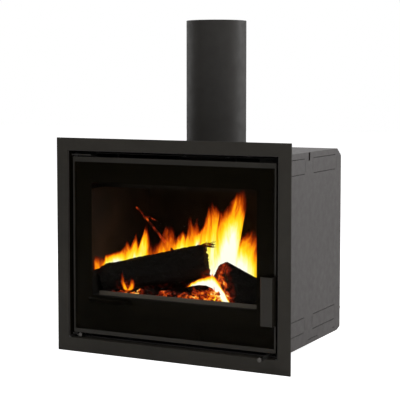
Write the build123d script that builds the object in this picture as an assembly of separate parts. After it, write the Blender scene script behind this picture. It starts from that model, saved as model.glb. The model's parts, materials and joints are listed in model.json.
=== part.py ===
"""A wood-burning fireplace insert: a steel firebox in a convection casing, behind a flat trim flange.

Millimetres, +Z up, the front faces -Y. The origin is the centre of the flat underside of the base.
A depth is a distance behind the front face of the trim flange, and at(depth) is its Y.
"""

from build123d import *
from math import atan2, cos, pi, radians, sin
import os

os.makedirs("parts", exist_ok=True)

# ---------------------------------------------------------------- driving dimensions

# Convection casing
casing_width = 674.0
casing_height = 556.0
casing_depth = 466.0
sheet = 2.0
base_thickness = 4.0
base_inset = 8.0
base_front_depth = 31.0
top_chamfer_depth = 31.0
top_chamfer_height = 22.0
bottom_chamfer_depth = 26.0
bottom_chamfer_height = 8.0
side_return = 22.0

# Trim flange
flange_thickness = 3.0
border_side = 38.0
border_top = 36.0
border_bottom = 40.0
flange_lip_depth = 20.0
flange_lip_thickness = 2.0

# Knock-outs and cuts of the side panels
knockout_length = 183.0
knockout_height = 43.0
knockout_front_depth = 8.0
knockout_pitch = 237.0
upper_knockout_drop = 60.5
lower_knockout_z = 43.0
slit_width = 1.6
knockout_tab = 6.0
edge_slot_width = 11.0
edge_slot_height = 24.0
panel_slit_z = 17.0
slit_drop = 3.0
front_cut_lead = 3.0
front_cut_length = 73.0
rear_cut_setback = 64.0
rear_cut_length = 19.0
notch_share = 0.53

# Firebox body
plate = 4.0
front_frame_depth = 42.0
front_frame_drop = 8.0
front_frame_side_gap = 0.5
side_channel = 21.0
back_channel = 32.0
top_channel = 32.0
floor_z = 100.0
floor_thickness = 5.0
opening_top_drop = 24.0
opening_bridge = 8.0
hot_air_slot_half = 262.0
hot_air_divider_x = 190.0
hot_air_divider = 4.0
hot_air_slot_edge = 3.0
inlet_height = 10.0
inlet_end_gap = 25.0
rod_slot_half = 8.0
latch_hole_margin = 4.0
latch_hole_reach = 15.5
air_wash_channel = 14.0
air_wash_drop = 12.0
air_wash_tip = 5.0

# Linings and fire bed
lining = 22.0
hearth_thickness = 20.0
air_duct_depth = 18.0
duct_side_gap = 10.0
duct_rise = 20.0
duct_hole_gap = 2.0
lining_top_drop = 84.0
lining_clearance = 0.5
grate_width = 296.0
grate_depth = 196.0
grate_front_depth = 122.0
grate_clearance = 2.0
grate_ledge = 10.0
grate_bar = 9.0
grate_slot = 9.0
grate_rim = 12.0
tertiary_hole_count = 12
tertiary_hole_radius = 3.0
tertiary_hole_z = 300.0
front_throat = 79.0
rear_throat = 81.0
baffle_side_gap = 1.5
baffle_back_gap = 1.0
deflector_drop = 34.0
deflector_thickness = 3.0
deflector_side_gap = 1.0
deflector_setback = 30.0
deflector_lip = 12.0
ledge_setback = 40.0
ledge_height = 14.0
ledge_width = 16.0
ledge_thickness = 3.0
log_guard_height = 12.0
log_guard_foot = 24.0
log_guard_side_gap = 24.0
log_guard_setback = 8.0

# Ash box and ash pan
ash_box_side_margin = 2.0
ash_box_rear_gap = 9.5
ash_box_height = 64.0
ash_sheet = 3.0
ash_pan_gap = 2.0
ash_pan_sheet = 1.5
ash_pan_height = 49.0
ash_pan_setback = 4.0
ash_opening_inset = 9.0
ash_pull_half = 45.0
ash_pull_reach = 14.0
ash_pull_drop = 10.0
ash_pull_share = 0.6

# Door
door_side_gap = 11.0
door_bottom_z = 16.0
door_top_gap = 19.5
door_front_depth = 11.0
door_rear_depth = 36.0
door_wall = 3.0
door_lip = 1.5
door_lip_side = 2.0
door_lip_bottom = 8.6
door_lip_top = 11.5
glass_thickness = 4.0
glass_edge_gap = 0.5
glass_corner = 2.0
print_thickness = 0.2
print_inset = 0.5
print_gap = 0.2
window_side_border = 60.0
window_bottom_border = 112.0
window_top_border = 74.5
window_corner = 9.0
tape_thickness = 2.8
tape_width = 12.0
tape_margin = 8.0
retainer_thickness = 2.0
retainer_margin = 6.0
retainer_side_gap = 18.5
retainer_end_gap = 1.0
rope_radius = 5.5
rope_inset = 29.0
rope_bottom_inset = 14.0
rope_top_inset = 24.5
rope_corner = 16.0
rope_wall = 3.0
rope_groove_clearance = 0.3
rope_gap = 0.3
rope_wall_drop = 1.0
lug_length = 16.0
lug_edge = 5.0
lug_pitch = 200.0
side_lug_offset = 4.0
side_lug_rise = 284.0
side_lug_drop = 66.0
screw_radius = 2.0
screw_clearance = 0.05

# Hinges
hinge_inset = 6.0
hinge_setback = 12.0
hinge_pin_radius = 4.0
running_clearance = 0.05
hinge_plate = 4.0
hinge_bottom_gap = 3.0
hinge_top_gap = 3.5
hinge_top_reach = 67.0
hinge_bottom_width = 18.5
hinge_plate_lead = 9.0
hinge_plate_side_gap = 2.0
hinge_boss_height = 20.0
hinge_boss_reach = 9.0
hinge_boss_back = 7.0
hinge_pin_head = 3.0
hinge_pin_rim = 2.0
hinge_pin_end_gap = 1.0
washer_rim = 3.5
washer_gap = 0.1

# Handle and latch
handle_width = 36.8
handle_bottom_z = 92.5
handle_height = 134.5
handle_stand = 12.0
handle_sheet = 2.0
handle_edge_gap = 0.7
handle_notch_gap = 1.5
handle_lip_radius = 4.0
spindle_inset = 11.5
spindle_radius = 4.0
spindle_glass_gap = 3.5
spindle_bottom_z = 50.0
spindle_end = 1.5
bearing_height = 10.0
bearing_gap = 1.0
bearing_side_gap = 0.5
bearing_back = 6.0
sleeve_length = 20.0
sleeve_wall = 1.6
hook_z = 66.0
hook_thickness = 6.0
hook_collar = 6.5
hook_shank = 5.0
hook_nose = 12.5
hook_nose_thickness = 5.0
keeper_thickness = 3.0
keeper_clearance = 0.5
keeper_height = 22.0
keeper_lap = 9.5
keeper_side_gap = 2.0

# Air controls
control_inset = 30.0
control_z = 8.5
control_travel = 61.0
rod_radius = 4.0
rod_length = 183.0
knob_radius = 6.5
knob_length = 16.0
knob_edge = 1.5
knob_front_depth = 10.0
shutter_length = 130.0
shutter_width = 40.0
shutter_thickness = 2.0
shutter_tab = 3.0
shutter_tab_half = 8.0
shutter_tab_gap = 0.1
shutter_gap = 0.5
shutter_end = 5.0
rod_shutter_gap = 1.5
air_window = 55.0
air_window_inset = 9.0
air_box_height = 44.0
air_box_length = 250.0
air_box_lead = 66.0
air_box_wall = 1.5
air_box_lip = 4.0
riser_radius = 15.0
riser_setback = 40.0
guide_depth = 60.0
guide_thickness = 4.0
guide_half = 7.5
guide_height = 16.0

# Supports
support_gap = 8.0
support_width = 28.0
support_sheet = 3.0
support_setback = 14.0
support_length = 310.0

# Convection fan
fan_wheel_radius = 28.0
fan_wheel_length = 216.0
fan_blade_count = 24
fan_blade = 1.0
fan_blade_chord = 8.0
fan_disc = 2.0
fan_blade_angle = 25.0
fan_blade_rim = 0.5
fan_shaft_radius = 3.0
fan_shaft_end = 2.0
fan_back_gap = 8.5
fan_axis_z = 48.0
fan_shell_gap = 5.0
fan_shell = 1.5
fan_end_gap = 4.0
fan_offset = 20.0
fan_inlet_drop = 20.0
fan_outlet_rise = 8.0
fan_outlet_lip = 4.0
fan_scroll_lap = 6.0
motor_radius = 21.0
motor_length = 34.0
motor_gap = 6.0
motor_plate = 4.0
motor_arm = 6.0
motor_arm_reach = 26.0
motor_arm_half = 12.0

# Flue
pipe_outer_radius = 90.0
pipe_wall = 2.0
pipe_rise = 381.0
flue_depth = 301.0
collar_ring_radius = 112.0
collar_ring_thickness = 6.0
collar_hole_radius = 84.0
collar_clearance = 0.3
collar_wall = 4.0
collar_height = 42.0
collar_bolt_count = 4
collar_bolt_radius = 4.0
collar_bolt_head_radius = 6.5
collar_bolt_head = 5.0
collar_bolt_end = 4.0
first_bolt_angle = 45.0
casing_flue_gap = 3.7

# Cable gland
gland_inset = 11.0
gland_z = 67.0
gland_radius = 7.5
gland_neck_share = 0.7
gland_cap_share = 0.85
gland_neck_length = 6.0
gland_nut_length = 6.0
gland_inner_nut = 4.0
gland_length = 15.0
gland_bore_radius = 3.5
gland_hole_clearance = 0.1

# Thermostat of the fan
thermostat_x = 120.0
thermostat_z = 180.0
thermostat_radius = 9.0
thermostat_height = 10.0
thermostat_foot_half = 20.0
thermostat_foot_height = 16.0
thermostat_foot = 1.5
thermostat_blade_x = 5.0
thermostat_blade = 0.8
thermostat_blade_length = 8.0
thermostat_blade_height = 6.0

# Back panel
back_vent_count = 15
back_vent_width = 6.0
back_vent_height = 60.0
back_vent_pitch = 16.0
back_vent_drop = 25.0
back_screw_count = 4
back_screw_inset = 26.0
back_screw_low = 20.0
back_screw_high = 15.0
back_screw_end = 3.0
outside_air_radius = 50.0
outside_air_z = 330.0
angle_width = 36.0
angle_return = 20.0
angle_low_gap = 1.0
angle_high_gap = 4.0
angle_gland_gap = 3.0

# Firewood and embers. A place is a share of the fire bed's half width, from its middle,
# and of its depth, behind the front frame.
ember_bed_height = 12.0
ember_bed_x = (-0.608, 0.944)
ember_bed_depth = (0.104, 0.701)
ember_bed_slope = 0.6
log_gap = 0.3
log_corner_count = 11
main_log = ((-0.945, 0.145), (0.201, 0.290))
main_log_rise = 0.25
main_log_radii = (42.0, 49.0)
under_log = ((0.083, 0.151), (0.125, 0.487))
under_log_taper = 0.9
rear_log = ((-0.417, 0.626), (0.590, 0.643))
rear_log_radii = (34.0, 30.0)

# The split log at the right: two places on the embers for each of its ends, then that end's
# corners, each a share of the way between the places and a height as a share of the half width.
split_left_places = ((0.542, 0.075), (0.288, 0.217))
split_left_corners = ((0, 0), (0.186, 0.385), (0.66, 0.34), (1.08, 0.194), (1, 0))
split_right_places = ((0.944, 0.070), (0.944, 0.258))
split_right_corners = ((0, 0), (0.28, 0.18), (0.72, 0.19), (1.05, 0.13), (1, 0))

# How far a cut runs past the face that it opens
overcut = 1.0

# ---------------------------------------------------------------- places worked out from them

face_y = -(flange_thickness + casing_depth / 2)
casing_half = casing_width / 2
casing_inner = casing_half - sheet
casing_rear = flange_thickness + casing_depth
side_bottom_z = base_thickness
back_low_z = side_bottom_z + bottom_chamfer_height
back_high_z = casing_height - top_chamfer_height
upper_knockout_z = casing_height - upper_knockout_drop
front_frame_top = casing_height - front_frame_drop
firebox_top_z = casing_height - top_channel
cavity_opening_top = firebox_top_z - opening_top_drop
lining_top_z = firebox_top_z - lining_top_drop
deflector_z = firebox_top_z - deflector_drop
pipe_top_z = casing_height + pipe_rise

firebox_front = front_frame_depth + plate
firebox_half = casing_inner - side_channel
firebox_inner = firebox_half - plate
firebox_rear = casing_rear - sheet - back_channel
firebox_back_inner = firebox_rear - plate
firebox_ceiling = firebox_top_z - plate
floor_top_z = floor_z + floor_thickness
hearth_z = floor_top_z + hearth_thickness
cavity_half = firebox_inner - lining
lining_back_rear = firebox_back_inner - air_duct_depth
lining_back_front = lining_back_rear - lining
log_guard_half = cavity_half - log_guard_side_gap
ember_top_z = hearth_z + ember_bed_height

fan_shell_inner = fan_wheel_radius + fan_shell_gap
fan_shell_outer = fan_shell_inner + fan_shell
fan_axis_depth = casing_rear - sheet - fan_back_gap - fan_shell_outer
ash_box_rear = fan_axis_depth - fan_shell_outer - ash_box_rear_gap
ash_pan_front = firebox_front + ash_pan_setback
ash_box_half_width = grate_width / 2 + ash_box_side_margin
support_x = ash_box_half_width + support_gap

door_half = casing_half - door_side_gap
door_top_z = casing_height - door_top_gap
glass_front = door_front_depth + door_lip
glass_rear = glass_front + glass_thickness
glass_half = door_half - door_wall - glass_edge_gap
glass_bottom = door_bottom_z + door_wall + glass_edge_gap
glass_top = door_top_z - door_wall - glass_edge_gap
window_half_width = door_half - window_side_border
window_bottom_z = door_bottom_z + window_bottom_border
window_top_z = door_top_z - window_top_border
tape_front = glass_rear + print_thickness
lug_front = tape_front + print_gap
retainer_front = tape_front + tape_thickness
retainer_rear = retainer_front + retainer_thickness
retainer_half = door_half - retainer_side_gap

hinge_x = -(door_half - hinge_inset)
hinge_depth = door_front_depth + hinge_setback
hinge_bore = hinge_pin_radius + running_clearance
hinge_bottom_z = door_bottom_z - hinge_bottom_gap - hinge_plate
hinge_top_z = door_top_z + hinge_top_gap

rope_bottom_z = door_bottom_z + rope_bottom_inset
rope_top_z = door_top_z - rope_top_inset
rope_half = door_half - rope_inset
rope_depth = front_frame_depth - rope_gap - rope_radius
rope_groove = rope_radius + rope_groove_clearance
rope_ring = rope_groove + rope_wall

spindle_x = door_half - spindle_inset
spindle_depth = glass_rear + spindle_radius + spindle_glass_gap
spindle_bore = spindle_radius + running_clearance
handle_top_z = handle_bottom_z + handle_height
handle_notch = (handle_bottom_z - handle_notch_gap, handle_top_z + handle_notch_gap)
spindle_top_z = handle_notch[1] + bearing_height + spindle_end
grip_outer = door_half - handle_edge_gap
grip_front = -handle_stand
keeper_rear = firebox_front + keeper_thickness
hook_front = keeper_rear + keeper_clearance
hook_rear = hook_front + hook_nose_thickness
hook_tip = spindle_x + hook_shank / 2 + hook_nose
keeper_edge = hook_tip - keeper_lap

control_x = casing_inner - control_inset
shutter_low_z = control_z + rod_radius + rod_shutter_gap

collar_outer_radius = pipe_outer_radius + collar_clearance + collar_wall
collar_top_z = firebox_top_z + collar_ring_thickness + collar_height
pipe_bottom_z = firebox_top_z + collar_ring_thickness

gland_x = casing_half - gland_inset
gland_neck = gland_radius * gland_neck_share
gland_rear = casing_rear + gland_length

pieces = {}


# ---------------------------------------------------------------- helpers


def at(depth):
    """Y of a depth behind the front face of the flange."""
    return face_y + depth


def block(x, depth, z):
    """A box from three (low, high) pairs."""
    size = [high - low for low, high in (x, depth, z)]
    middle = [(low + high) / 2 for low, high in (x, depth, z)]
    return Pos(middle[0], at(middle[1]), middle[2]) * Box(*size)


def mirrored(pair):
    """The (low, high) pair on the other side of X = 0."""
    return (-pair[1], -pair[0])


def on_side(side, pair):
    """A (low, high) pair of the right side, moved to the left one where side is -1."""
    return pair if side > 0 else mirrored(pair)


def past(pair):
    """A (low, high) pair that runs past both its ends, for a cut."""
    return (pair[0] - overcut, pair[1] + overcut)


def about(middle, half):
    """The (low, high) pair on both sides of a middle."""
    return (middle - half, middle + half)


def upright(x, depth, z, radius):
    """A cylinder along Z between two heights."""
    return Pos(x, at(depth), (z[0] + z[1]) / 2) * Cylinder(radius, z[1] - z[0])


def along_depth(x, depth, z, radius):
    """A cylinder along Y between two depths."""
    middle = Pos(x, at((depth[0] + depth[1]) / 2), z)
    return middle * Rot(90, 0, 0) * Cylinder(radius, depth[1] - depth[0])


def along_width(x, depth, z, radius):
    """A cylinder along X between two ends."""
    return Pos((x[0] + x[1]) / 2, at(depth), z) * Rot(0, 90, 0) * Cylinder(radius, x[1] - x[0])


def panel(half_width, depth, z, corner=0.0):
    """An upright plate across the front, with its four corners rounded."""
    body = block((-half_width, half_width), depth, z)
    if corner > 0:
        body = fillet(body.edges().filter_by(Axis.Y), corner)
    return body


def ring(outer, inner, depth, corners=(0.0, 0.0)):
    """A flat frame across the front: outer and inner are (half width, low z, high z)."""
    body = panel(outer[0], depth, outer[1:], corners[0])
    return body - panel(inner[0], past(depth), inner[1:], corners[1])


def profile_along_x(points, x):
    """A solid whose section is a list of (depth, z) points, from one X to another."""
    section = make_face(Polyline(*[(at(depth), z) for depth, z in points], close=True))
    return Pos(x[0], 0, 0) * extrude(Plane.YZ * section, x[1] - x[0])


def both(make):
    """The left and the right copy of a piece, as two solids of one node."""
    return Compound([make(-1), make(1)])


def bolt(x, depth, z, length):
    """A button-head screw along Y: its head is at the larger depth."""
    head_end = depth + screw_radius
    shank = along_depth(x, (depth - length, depth), z, screw_radius - screw_clearance)
    head = along_depth(x, (depth, head_end), z, screw_radius * 1.8)
    socket = along_depth(x, (depth + screw_radius * 0.4, head_end + overcut), z, screw_radius * 0.8)
    return shank + head - socket


# ---------------------------------------------------------------- trim flange and casing


def trim_flange():
    """The flat frame that covers the edge of the recess, with lips round the casing and to its base."""
    outer = (casing_half + border_side, -border_bottom, casing_height + border_top)
    body = ring(outer, (casing_half, 0, casing_height), (0, flange_thickness))
    lip_depth = (flange_thickness, flange_thickness + flange_lip_depth)
    for side in (-1, 1):
        lip_x = on_side(side, (casing_half, casing_half + flange_lip_thickness))
        body += block(lip_x, lip_depth, (side_bottom_z, casing_height + flange_lip_thickness))
    top_lip_z = (casing_height, casing_height + flange_lip_thickness)
    body += block((-casing_half, casing_half), lip_depth, top_lip_z)
    sill_depth = (flange_thickness, base_front_depth)
    return body + block((-casing_half, casing_half), sill_depth, (-flange_lip_thickness, 0))


def casing_base():
    """The heavy plate that the insert stands on."""
    half = casing_half - base_inset
    return block((-half, half), (base_front_depth, casing_rear - sheet), (0, base_thickness))


def side_outline():
    """The side panel's (depth, z) corners."""
    front = flange_thickness
    return [
        (front, side_bottom_z),
        (casing_rear - bottom_chamfer_depth, side_bottom_z),
        (casing_rear, side_bottom_z + bottom_chamfer_height),
        (casing_rear, casing_height - top_chamfer_height),
        (casing_rear - top_chamfer_depth, casing_height),
        (front, casing_height),
    ]


def knockout_slits(x, depth, z):
    """The four slits that leave a rectangle of sheet hanging on tabs at its corners."""
    d0, d1 = depth
    z0, z1 = z
    half = slit_width / 2
    slits = []
    for edge in (z0, z1):
        slits.append(block(x, (d0 + knockout_tab, d1 - knockout_tab), (edge - half, edge + half)))
    for edge in (d0, d1):
        slits.append(block(x, (edge - half, edge + half), (z0 + knockout_tab, z1 - knockout_tab)))
    return slits


def casing_side(side):
    """A side panel: a bottom return on the base, knock-outs, and cuts for ducts and brackets."""
    x = on_side(side, (casing_inner, casing_half))
    cut_x = past(x)
    body = profile_along_x(side_outline(), x)
    foot_depth = (firebox_front + sheet, casing_rear - bottom_chamfer_depth)
    foot_x = on_side(side, (casing_inner - side_return, casing_inner))
    body += block(foot_x, foot_depth, (side_bottom_z, side_bottom_z + sheet))
    cuts = []
    for level in (upper_knockout_z, lower_knockout_z):
        for index in range(2):
            start = knockout_front_depth + index * knockout_pitch
            depth = (start, start + knockout_length)
            cuts += knockout_slits(cut_x, depth, (level, level + knockout_height))
    slot_depth = knockout_front_depth + (knockout_pitch + knockout_length) / 2
    slot_z = (casing_height - edge_slot_height, casing_height + overcut)
    cuts.append(block(cut_x, about(slot_depth, edge_slot_width / 2), slot_z))
    slit_z = about(panel_slit_z, slit_width / 2)
    drop_z = (side_bottom_z + slit_drop, slit_z[1])
    front_end = slot_depth - front_cut_lead + front_cut_length
    rear_end = casing_rear - rear_cut_setback + rear_cut_length
    for end, length in ((front_end, front_cut_length), (rear_end, rear_cut_length)):
        cuts.append(block(cut_x, (end - length, end), slit_z))
        cuts.append(block(cut_x, (end - slit_width, end), drop_z))
    notch_depth = knockout_front_depth + knockout_length * notch_share
    cuts.append(block(cut_x, about(notch_depth, slit_width / 2), (drop_z[0], panel_slit_z)))
    return body - cuts


def casing_top():
    """The lid of the casing, with its sloped rear edge and the hole round the flue collar."""
    slope = atan2(top_chamfer_height, top_chamfer_depth)
    run = sheet * (1 - cos(slope)) / sin(slope)
    corner = casing_rear - top_chamfer_depth
    inner_rear = casing_rear - sheet
    fall = top_chamfer_height / top_chamfer_depth
    inner_low = casing_height - sheet - (inner_rear - corner + run) * fall
    outer_low = casing_height - (inner_rear - corner) * fall
    outline = [
        (flange_thickness, casing_height),
        (flange_thickness, casing_height - sheet),
        (corner - run, casing_height - sheet),
        (inner_rear, max(inner_low, back_high_z)),
        (inner_rear, outer_low),
        (corner, casing_height),
    ]
    body = profile_along_x(outline, (-casing_inner, casing_inner))
    hole_z = past((casing_height - sheet, casing_height))
    return body - upright(0, flue_depth, hole_z, collar_outer_radius + casing_flue_gap)


def casing_back():
    """The rear sheet: fan inlet slots, a round knock-out for outside air and the gland's hole."""
    depth = (casing_rear - sheet, casing_rear)
    cut_depth = past(depth)
    body = block((-casing_inner, casing_inner), depth, (back_low_z, back_high_z))
    cuts = []
    first = -(back_vent_count - 1) / 2 * back_vent_pitch
    vent_low_z = fan_axis_z - back_vent_drop
    for index in range(back_vent_count):
        slot_x = about(first + index * back_vent_pitch, back_vent_width / 2)
        cuts.append(block(slot_x, cut_depth, (vent_low_z, vent_low_z + back_vent_height)))
    cuts.append(along_depth(gland_x, cut_depth, gland_z, gland_neck + gland_hole_clearance))
    annulus = along_depth(0, cut_depth, outside_air_z, outside_air_radius + slit_width)
    annulus -= along_depth(0, cut_depth, outside_air_z, outside_air_radius)
    reach = outside_air_radius + slit_width + overcut
    tab = knockout_tab / 2
    annulus -= block(about(0, tab), cut_depth, about(outside_air_z, reach))
    annulus -= block(about(0, reach), cut_depth, about(outside_air_z, tab))
    cuts.append(annulus)
    for x, z in back_screw_places():
        cuts.append(along_depth(x, cut_depth, z, screw_radius))
    return body - cuts


def back_screw_places():
    """Screw places along the back panel's two upright edges."""
    low_z = back_low_z + back_screw_low
    high_z = back_high_z - back_screw_high
    step = (high_z - low_z) / (back_screw_count - 1)
    places = []
    for side in (-1, 1):
        for index in range(back_screw_count):
            places.append((side * (casing_inner - back_screw_inset), low_z + index * step))
    return places


def casing_angle(side):
    """The upright angle at a rear corner that the back panel is screwed to."""
    rear = casing_rear - sheet
    depth = (rear - sheet, rear)
    z = (back_low_z + angle_low_gap, back_high_z - angle_high_gap)
    body = block(on_side(side, (casing_inner - angle_width, casing_inner)), depth, z)
    body += block(on_side(side, (casing_inner - sheet, casing_inner)), (rear - angle_return, rear), z)
    cuts = []
    for x, place_z in back_screw_places():
        if x * side > 0:
            cuts.append(along_depth(x, past(depth), place_z, screw_radius))
    if side > 0:
        gland_cut = past((rear - angle_return, rear))
        cuts.append(along_depth(gland_x, gland_cut, gland_z, gland_radius + angle_gland_gap))
    return body - cuts


def casing_screws():
    """The screws of the back panel, heads outside."""
    length = 2 * sheet + back_screw_end
    return Compound([bolt(x, casing_rear, z, length) for x, z in back_screw_places()])


# ---------------------------------------------------------------- firebox


def front_frame():
    """The plate behind the door: fire opening, ash opening, hot-air slots and the latch hole."""
    depth = (front_frame_depth, firebox_front)
    cut_depth = past(depth)
    half = casing_inner - front_frame_side_gap
    body = block((-half, half), depth, (base_thickness, front_frame_top))
    opening_z = (floor_z + opening_bridge, cavity_opening_top)
    cuts = [block(about(0, cavity_half), cut_depth, opening_z)]
    ash_half = ash_box_half_width - ash_opening_inset
    cuts.append(block(about(0, ash_half), cut_depth, (ash_floor_z() - overcut, floor_z)))
    slot_z = (firebox_top_z + hot_air_slot_edge, front_frame_top - hot_air_slot_edge)
    divider_inner, divider_outer = about(hot_air_divider_x, hot_air_divider / 2)
    cuts.append(block(about(0, divider_inner), cut_depth, slot_z))
    inlet_z = (base_thickness - overcut, base_thickness + inlet_height)
    cuts.append(block(about(0, control_x - inlet_end_gap), cut_depth, inlet_z))
    for side in (-1, 1):
        cuts.append(block(on_side(side, (divider_outer, hot_air_slot_half)), cut_depth, slot_z))
        cuts.append(block(about(side * control_x, rod_slot_half), cut_depth, inlet_z))
    latch_x = (spindle_x - latch_hole_reach, keeper_edge + overcut)
    latch_z = (hook_z - latch_hole_margin, hook_z + hook_thickness + latch_hole_margin)
    cuts.append(block(latch_x, cut_depth, latch_z))
    return body - cuts


def firebox_side(side):
    """A side plate of the firebox."""
    x = on_side(side, (firebox_inner, firebox_half))
    return block(x, (firebox_front, firebox_rear), (floor_z, firebox_ceiling))


def firebox_back():
    """The rear plate of the firebox."""
    depth = (firebox_back_inner, firebox_rear)
    return block((-firebox_inner, firebox_inner), depth, (floor_top_z, firebox_ceiling))


def firebox_top():
    """The top plate, with the flue outlet and the collar's bolt holes."""
    z = (firebox_ceiling, firebox_top_z)
    body = block((-firebox_half, firebox_half), (firebox_front, firebox_rear), z)
    cuts = [upright(0, flue_depth, past(z), collar_hole_radius)]
    for x, depth in collar_bolt_places():
        cuts.append(upright(x, depth, past(z), collar_bolt_radius))
    return body - cuts


def grate_opening():
    """The (x, depth) pairs of the hole in the floor under the grate."""
    rear = grate_front_depth + grate_depth
    return about(0, grate_width / 2 - grate_ledge), (grate_front_depth + grate_ledge, rear - grate_ledge)


def firebox_floor():
    """The floor plate, open under the grate."""
    x, depth = grate_opening()
    z = (floor_z, floor_top_z)
    body = block((-firebox_inner, firebox_inner), (firebox_front, firebox_rear), z)
    return body - block(x, depth, past(z))


def hearth_tile(name):
    """One of the four tiles of the hearth, which leave room for the grate between them."""
    gap = grate_clearance / 2
    z = (floor_top_z, hearth_z)
    front = firebox_front + lining_clearance
    rear = lining_back_rear
    grate_low = grate_front_depth - gap
    grate_high = grate_front_depth + grate_depth + gap
    joint = lining_clearance / 2
    width = about(0, cavity_half - joint)
    if name == "front":
        return block(width, (front, grate_low - joint), z)
    if name == "rear":
        return block(width, (grate_high + joint, rear), z)
    side = 1 if name == "right" else -1
    x = on_side(side, (grate_width / 2 + gap, cavity_half - joint))
    return block(x, (grate_low + joint, grate_high - joint), z)


def lining_side(side):
    """A side lining slab of pressed vermiculite."""
    x = on_side(side, (cavity_half, firebox_inner))
    depth = (firebox_front + lining_clearance, lining_back_rear)
    return block(x, depth, (floor_top_z, lining_top_z))


def lining_back():
    """The rear lining slab, with a row of holes for preheated air."""
    depth = (lining_back_front, lining_back_rear)
    body = block(about(0, cavity_half - lining_clearance), depth, (hearth_z, lining_top_z))
    cuts = []
    for x in tertiary_hole_places():
        cuts.append(along_depth(x, past(depth), tertiary_hole_z, tertiary_hole_radius))
    return body - cuts


def tertiary_hole_places():
    """X of each hole in the rear lining."""
    half = cavity_half - lining_clearance
    pitch = 2 * half / (tertiary_hole_count + 1)
    return [-half + (index + 1) * pitch for index in range(tertiary_hole_count)]


def rear_air_duct():
    """The flat duct behind the rear lining that feeds its row of holes, welded from five strips."""
    half = cavity_half - duct_side_gap
    front = (lining_back_rear, lining_back_rear + sheet)
    inside = (front[1], firebox_back_inner - sheet)
    z = (floor_top_z, tertiary_hole_z + duct_rise)
    face = block(about(0, half), front, z)
    for x in tertiary_hole_places():
        hole_radius = tertiary_hole_radius + duct_hole_gap
        if abs(x) < half - sheet - hole_radius:
            face -= along_depth(x, past(front), tertiary_hole_z, hole_radius)
    left = block((-half, -half + sheet), inside, z)
    right = block((half - sheet, half), inside, z)
    top = block(about(0, half - sheet), inside, (z[1] - sheet, z[1]))
    back = block(about(0, half), (inside[1], firebox_back_inner), z)
    return Compound([face, left, right, top, back])


def baffle():
    """The vermiculite throat plate that lies on the linings."""
    z = (lining_top_z, lining_top_z + lining)
    depth = (firebox_front + front_throat, firebox_back_inner - baffle_back_gap)
    return block(about(0, firebox_inner - baffle_side_gap), depth, z)


def deflector():
    """The steel smoke deflector above the throat plate, folded up at its front edge."""
    x = about(0, firebox_inner - deflector_side_gap)
    depth = (firebox_front + deflector_setback, firebox_back_inner - rear_throat)
    body = block(x, depth, (deflector_z, deflector_z + deflector_thickness))
    lip_depth = (depth[0], depth[0] + deflector_thickness)
    return body + block(x, lip_depth, (deflector_z, deflector_z + deflector_lip))


def deflector_ledge(side):
    """The angle on a side plate that the deflector lies on."""
    depth = (firebox_front + ledge_setback, firebox_back_inner - rear_throat)
    upright_x = on_side(side, (firebox_inner - ledge_thickness, firebox_inner))
    level_x = on_side(side, (firebox_inner - ledge_width, firebox_inner))
    body = block(upright_x, depth, (deflector_z - ledge_height, deflector_z))
    return body + block(level_x, depth, (deflector_z - ledge_thickness, deflector_z))


def air_wash():
    """The folded plate above the fire opening that sends air down the glass."""
    front = firebox_front
    rear = front + air_wash_channel
    tip = front + air_wash_tip
    top = firebox_ceiling
    bend = cavity_opening_top
    low = bend - air_wash_drop
    outline = [
        (front, top),
        (front, top - sheet),
        (rear, top - sheet),
        (rear, bend),
        (tip, low),
        (tip + sheet * 1.3, low),
        (rear + sheet, bend - sheet / 2),
        (rear + sheet, top),
    ]
    return profile_along_x(outline, about(0, firebox_inner - sheet))


def log_guard():
    """The low folded lip in front of the fire bed."""
    x = about(0, log_guard_half)
    front = firebox_front + log_guard_setback
    body = block(x, (front, front + sheet), (hearth_z, hearth_z + log_guard_height))
    return body + block(x, (front, front + log_guard_foot), (hearth_z, hearth_z + sheet))


def grate():
    """The cast grate: a rim with bars across it."""
    depth = (grate_front_depth, grate_front_depth + grate_depth)
    z = (floor_top_z, hearth_z)
    body = block(about(0, grate_width / 2), depth, z)
    bar_low, bar_high = about((depth[0] + depth[1]) / 2, grate_bar / 2)
    pitch = grate_bar + grate_slot
    count = int((grate_width - 2 * grate_rim + grate_bar) // pitch)
    start = -(count * pitch - grate_bar) / 2
    cuts = []
    for index in range(count):
        slot_x = (start + index * pitch, start + index * pitch + grate_slot)
        cuts.append(block(slot_x, (depth[0] + grate_rim, bar_low), past(z)))
        cuts.append(block(slot_x, (bar_high, depth[1] - grate_rim), past(z)))
    return body - cuts


def support(side):
    """A channel on the base that carries the firebox floor."""
    x = on_side(side, (support_x, support_x + support_width))
    depth = (firebox_front + support_setback, firebox_front + support_setback + support_length)
    z = (base_thickness, floor_z)
    inner_x = on_side(side, (support_x + support_sheet, support_x + support_width + overcut))
    inner_z = (z[0] + support_sheet, z[1] - support_sheet)
    return block(x, depth, z) - block(inner_x, past(depth), inner_z)


def ash_floor_z():
    """Top of the ash box's floor, on which the pan stands."""
    return floor_z - ash_box_height + ash_sheet


def ash_box():
    """The open-topped box under the grate that the ash pan slides into."""
    depth = (firebox_front, ash_box_rear)
    body = block(about(0, ash_box_half_width), depth, (floor_z - ash_box_height, floor_z))
    inside_depth = (depth[0] - overcut, depth[1] - ash_sheet)
    inside_z = (ash_floor_z(), floor_z + overcut)
    return body - block(about(0, ash_box_half_width - ash_sheet), inside_depth, inside_z)


def ash_pan():
    """The sheet pan for the ash, which passes through the ash opening."""
    half = ash_box_half_width - ash_opening_inset - ash_pan_gap
    depth = (ash_pan_front, ash_box_rear - ash_sheet - ash_pan_gap)
    z = (ash_floor_z(), ash_floor_z() + ash_pan_height)
    inside_depth = (depth[0] + ash_pan_sheet, depth[1] - ash_pan_sheet)
    inside_z = (z[0] + ash_pan_sheet, z[1] + overcut)
    return block(about(0, half), depth, z) - block(about(0, half - ash_pan_sheet), inside_depth, inside_z)


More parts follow.
